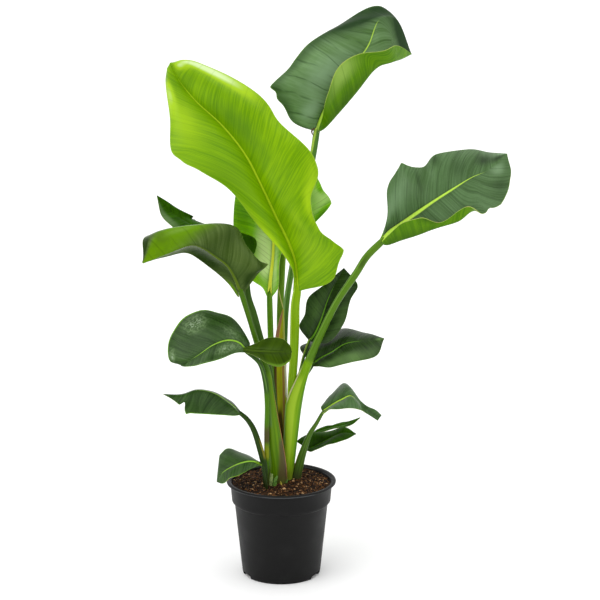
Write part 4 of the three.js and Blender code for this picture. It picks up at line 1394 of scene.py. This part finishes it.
# %% Stubs, scraps and the curl
LEFTOVER_SIDES = 12
SPOT_SHADE = 0.45
LEFTOVERS = {
    "pale_stub": (
        [(-20, -26, 175, 5.5, 3), (-20, -25, 191, 5, 3), (-18, -24, 205, 2.6, 1.5)],
        colour(150, 176, 96), "green_stalk",
    ),
    "green_stub": (
        [(-13, -28, 174, 4.5, 3), (-12, -27, 190, 4, 2.6), (-7, -25, 201, 1.6, 1.2)],
        colour(92, 140, 40), "green_stalk",
    ),
    "yellow_scrap": (
        [(1, -24, 175, 2, 1.6), (0, -24, 183, 1.8, 1.4), (-1, -24, 190, 0.8, 0.8)],
        colour(206, 200, 60), "dry_sheath",
    ),
    "green_scrap": (
        [(8, -16, 170, 3, 2), (9, -16, 182, 2.6, 1.8), (13, -15, 191, 1, 1)],
        colour(80, 120, 30), "green_stalk",
    ),
    "withered_curl": (
        [
            (65, 120, 847, 1.2, 1.2), (59, 120, 843, 1.6, 1.2), (59, 120, 837, 1.2, 1),
            (62, 120, 833, 0.6, 0.6),
        ],
        colour(96, 66, 34), "dry_sheath",
    ),
}
for name, (rows, tint, slot) in LEFTOVERS.items():
    finish, tree, shader = new_material(name)
    darker = (*(SPOT_SHADE * channel for channel in tint[:3]), 1)
    spots = ramp(tree, body_noise(tree, 400.0), 0.4, 0.65)
    set_surface(tree, shader, mix_colours(tree, spots, tint, darker), roughness=0.6)
    leftover_bm = tube_bmesh(stations_from(rows), sides=LEFTOVER_SIDES)
    leftover = mesh_object(leftover_bm, name, [finish])
print("leftovers:", ", ".join(LEFTOVERS))

# %% [markdown]
# ## Pot
#
# A nursery pot is blown or pressed from thin black plastic: a tapering wall, a stepped collar
# near the top, a rolled rim, and arches cut at the foot so that water drains away. Half of its
# section is spun round the axis, and boxes cut the arches.

# %% Pot profile
POT_HEIGHT = 186.5
RIM_RADIUS = 105.0
COLLAR_TOP = 97.5
COLLAR_FOOT = 95.0
COLLAR_FOOT_HEIGHT = 150.0
STEP_RADIUS = 89.5
STEP_HEIGHT = 141.0
BASE_RADIUS = 75.0
POT_WALL = 2.0
POT_STEPS = 144


def spun_bmesh(profile, steps, merge_distance=MERGE_DISTANCE):
    """A smooth body spun round the upright axis from rows of radius and height in mm."""
    bm = bmesh.new()
    verts = [bm.verts.new((radius * MM, 0, z * MM)) for radius, z in profile]
    edges = [bm.edges.new(pair) for pair in zip(verts, verts[1:])]
    bmesh.ops.spin(
        bm, geom=verts + edges, cent=(0, 0, 0), axis=(0, 0, 1),
        angle=2 * math.pi, steps=steps, use_merge=True,
    )
    bmesh.ops.remove_doubles(bm, verts=bm.verts, dist=merge_distance)
    bmesh.ops.recalc_face_normals(bm, faces=bm.faces)
    for face in bm.faces:
        face.smooth = True
    return bm


def inner_radius(height):
    """Inner radius of the tapering wall at a height, both in mm."""
    taper = (STEP_RADIUS - BASE_RADIUS) / STEP_HEIGHT
    return BASE_RADIUS - POT_WALL + taper * min(max(height, 0.0), STEP_HEIGHT)


POT_PROFILE = [
    (0, 0), (71.5, 0), (73.4, 0.5), (74.4, 2), (75.2, 4.5), (75.6, 7), (STEP_RADIUS, STEP_HEIGHT),
    (90.6, 142.4), (93.4, 144.6), (94.6, 146.4), (COLLAR_FOOT, COLLAR_FOOT_HEIGHT),
    (COLLAR_TOP, POT_HEIGHT - 6.2), (98.2, POT_HEIGHT - 5.2), (103.6, POT_HEIGHT - 4.8),
    (104.7, POT_HEIGHT - 4), (RIM_RADIUS, POT_HEIGHT - 2.6), (104.6, POT_HEIGHT - 1.2),
    (103.4, POT_HEIGHT - 0.2), (101.4, POT_HEIGHT), (99, POT_HEIGHT - 0.4),
    (96.8, POT_HEIGHT - 1.8), (COLLAR_TOP - POT_WALL, POT_HEIGHT - 4),
    (COLLAR_FOOT - POT_WALL, COLLAR_FOOT_HEIGHT), (inner_radius(STEP_HEIGHT), STEP_HEIGHT),
    (inner_radius(0), 6), (69, POT_WALL), (0, POT_WALL),
]
pot_bm = spun_bmesh(POT_PROFILE, POT_STEPS)

# %% Pot plastic
RIM_HIGHLIGHT_HEIGHT = (POT_HEIGHT - 3.2) * MM
pot_plastic, tree, shader = new_material("pot_plastic")
body = add_node(tree, "TexCoord").outputs["Object"]
up = add_node(tree, "SeparateXYZ", {0: body}).outputs[2]
scuffs_and_highlight_mottle = body_noise(tree, 22.0, 5.0)
black = mix_colours(tree, ramp(tree, scuffs_and_highlight_mottle, 0.45, 0.75), colour(20, 20, 20), colour(27, 27, 27))
# A pale patchy line along the rim's outer edge is a painted highlight.
on_edge = ramp(tree, distance_from(tree, up, RIM_HIGHLIGHT_HEIGHT), 0.0004, 0.0012, 1.0, 0.0)
rim_highlight = product(tree, on_edge, ramp(tree, scuffs_and_highlight_mottle, 0.35, 0.6))
black = mix_colours(tree, rim_highlight, black, colour(74, 76, 78))
roughness = ramp(tree, scuffs_and_highlight_mottle, 0.3, 0.7, 0.42, 0.56)
grain = (0.25, 0.0003, body_noise(tree, 900.0))
set_surface(tree, shader, black, roughness, shine=0.12, bump=grain)

# %% Pot object with its drain arches
ARCH_ANGLES = (26, 154, 206, 334)
ARCH_SIZE = (0.016, 0.032, 0.016)
pot = mesh_object(pot_bm, "nursery_pot", [pot_plastic])
arch_bm = bmesh.new()
for degrees in ARCH_ANGLES:
    turn = Matrix.Rotation(math.radians(degrees), 4, "Z")
    place = Matrix.Translation((BASE_RADIUS * MM, 0, 0))
    size = Matrix.Diagonal((*ARCH_SIZE, 1))
    bmesh.ops.create_cube(arch_bm, size=1, matrix=turn @ place @ size)
arch_mesh = bpy.data.meshes.new("arches")
arch_bm.to_mesh(arch_mesh)
arch_bm.free()
arches = bpy.data.objects.new("arches", arch_mesh)
scene.collection.objects.link(arches)
cut = pot.modifiers.new("drain arches", "BOOLEAN")
cut.operation = "DIFFERENCE"
cut.solver = "EXACT"
cut.object = arches
bpy.context.view_layer.update()
cut_pot = pot.evaluated_get(bpy.context.evaluated_depsgraph_get())
cut_mesh = bpy.data.meshes.new_from_object(cut_pot)
pot.modifiers.clear()
pot.data = cut_mesh
bpy.data.objects.remove(arches)
cut_mesh.set_sharp_from_angle(angle=math.radians(50))
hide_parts("pot")
print("pot:", len(cut_mesh.polygons), "faces")

# %% [markdown]
# ## Potting mix
#
# The mix is coarse bark and peat. Its body is a spun profile whose top is roughened with noise,
# and loose chips of bark lie over it. Each is a flattened lump, turned and sized by a seeded
# draw, with a tone of its own that the finish turns into a brown. A few pale pebbles lie between.

# %% Body of the mix
SOIL_EDGE_HEIGHT = 180.0
SOIL_CROWN = 3.0
SOIL_RADIUS = 94.4
SOIL_STEPS = 120
SOIL_RINGS = 40
SOIL_MERGE_DISTANCE = 1e-5
LUMPS_PER_METRE = 90
LUMP_HEIGHT = 1.6


def soil_height(x, y):
    """Height of the mix at a place in metres."""
    spread = min(1.0, math.hypot(x, y) / (SOIL_RADIUS * MM))
    crown = SOIL_EDGE_HEIGHT + SOIL_CROWN * (1 - spread**2)
    lumps = noise.fractal(Vector((x, y, 0)) * LUMPS_PER_METRE, 0.8, 2.1, 4) * LUMP_HEIGHT
    return (crown + lumps) * MM


soil_wall = [
    (0, 2.4), (68.6, 2.4), (72.5, 6.6), (87.1, STEP_HEIGHT), (92.6, COLLAR_FOOT_HEIGHT),
    (SOIL_RADIUS, SOIL_EDGE_HEIGHT - 2),
]
soil_top = [
    (SOIL_RADIUS * (1 - ring / SOIL_RINGS), SOIL_EDGE_HEIGHT) for ring in range(SOIL_RINGS + 1)
]
soil_bm = spun_bmesh(soil_wall + soil_top, SOIL_STEPS, SOIL_MERGE_DISTANCE)
for vert in soil_bm.verts:
    if vert.co.z > (SOIL_EDGE_HEIGHT - 1) * MM:
        vert.co.z = soil_height(vert.co.x, vert.co.y)

# %% Finish of the mix
soil_finish, tree, shader = new_material("potting_mix")
crumbs = body_noise(tree, 260.0, 4.0)
clods = body_noise(tree, 60.0, 3.0)
brown = mix_colours(tree, ramp(tree, crumbs, 0.4, 0.7), colour(20, 11, 5), colour(84, 54, 30))
brown = mix_colours(tree, ramp(tree, clods, 0.45, 0.6), brown, colour(26, 15, 8))
roughness = ramp(tree, crumbs, 0.3, 0.7, 0.8, 1.0)
set_surface(tree, shader, brown, roughness, shine=0.12, bump=(0.9, 0.002, crumbs))
soil = mesh_object(soil_bm, "potting_mix", [soil_finish])
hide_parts("soil")

# %% Loose chips
CHIP_COUNT = 1900
CHIP_HALF_LENGTHS = (0.6, 3.4, 1.2)  # least, most and usual, in mm
CHIP_TURN = 6.28
CHIP_TILT = 0.7
CHIP_ROUGHNESS = 0.17
CHIP_LIFT = 0.55
PEBBLE_FLATNESS = 0.8
PEBBLES = [(6, -49, 183, 3.6), (23, -4, 184, 2.6), (48, -30, 181, 2.2), (-52, -20, 181, 2.4)]
draw = random.Random(7)
chip_bm = bmesh.new()
painted_light_and_tone_layer = chip_bm.verts.layers.float.new("painted_light_and_tone")
for index in range(CHIP_COUNT):
    radius = (SOIL_RADIUS - 3) * MM * math.sqrt(draw.random())
    bearing = draw.uniform(0, 2 * math.pi)
    x, y = radius * math.cos(bearing), radius * math.sin(bearing)
    long_half = draw.triangular(*CHIP_HALF_LENGTHS) * MM
    size = (long_half, long_half * draw.uniform(0.4, 0.85), long_half * draw.uniform(0.25, 0.6))
    lift = Matrix.Translation((x, y, soil_height(x, y) + size[2] * CHIP_LIFT))
    spin_chip = Matrix.Rotation(draw.uniform(0, CHIP_TURN), 4, "Z")
    tip_chip = Matrix.Rotation(draw.uniform(-CHIP_TILT, CHIP_TILT), 4, "X")
    stretch = Matrix.Diagonal((*size, 1))
    place = lift @ spin_chip @ tip_chip @ stretch
    made = bmesh.ops.create_icosphere(chip_bm, subdivisions=1, radius=1, matrix=place)
    tone_of_chip = draw.random()
    for vert in made["verts"]:
        vert[painted_light_and_tone_layer] = tone_of_chip
        roughen = Vector([draw.uniform(-1, 1) for axis in range(3)])
        vert.co += roughen * long_half * CHIP_ROUGHNESS

for x, y, z, radius in PEBBLES:
    place = Matrix.Translation(Vector((x, y, z)) * MM)
    stretch = Matrix.Diagonal((radius * MM, radius * MM, PEBBLE_FLATNESS * radius * MM, 1))
    made = bmesh.ops.create_icosphere(chip_bm, subdivisions=2, radius=1, matrix=place @ stretch)
    for vert in made["verts"]:
        vert[painted_light_and_tone_layer] = 1.0

# %% Finish of the chips
chip_finish, tree, shader = new_material("bark_chips")
tone_read = add_node(tree, "Attribute", attribute_name="painted_light_and_tone").outputs["Fac"]
specks = body_noise(tree, 700.0)
brown = mix_colours(tree, ramp(tree, tone_read, 0.25, 0.7), colour(22, 12, 6), colour(118, 78, 44))
brown = mix_colours(tree, ramp(tree, tone_read, 0.84, 0.98), brown, colour(200, 158, 112))
brown = mix_colours(tree, ramp(tree, specks, 0.45, 0.75), brown, colour(44, 26, 14))
set_surface(tree, shader, brown, ramp(tree, specks, 0.3, 0.7, 0.7, 0.95), shine=0.15)
chips = mesh_object(chip_bm, "bark_chips", [chip_finish])
print("chips:", len(chips.data.polygons), "faces")
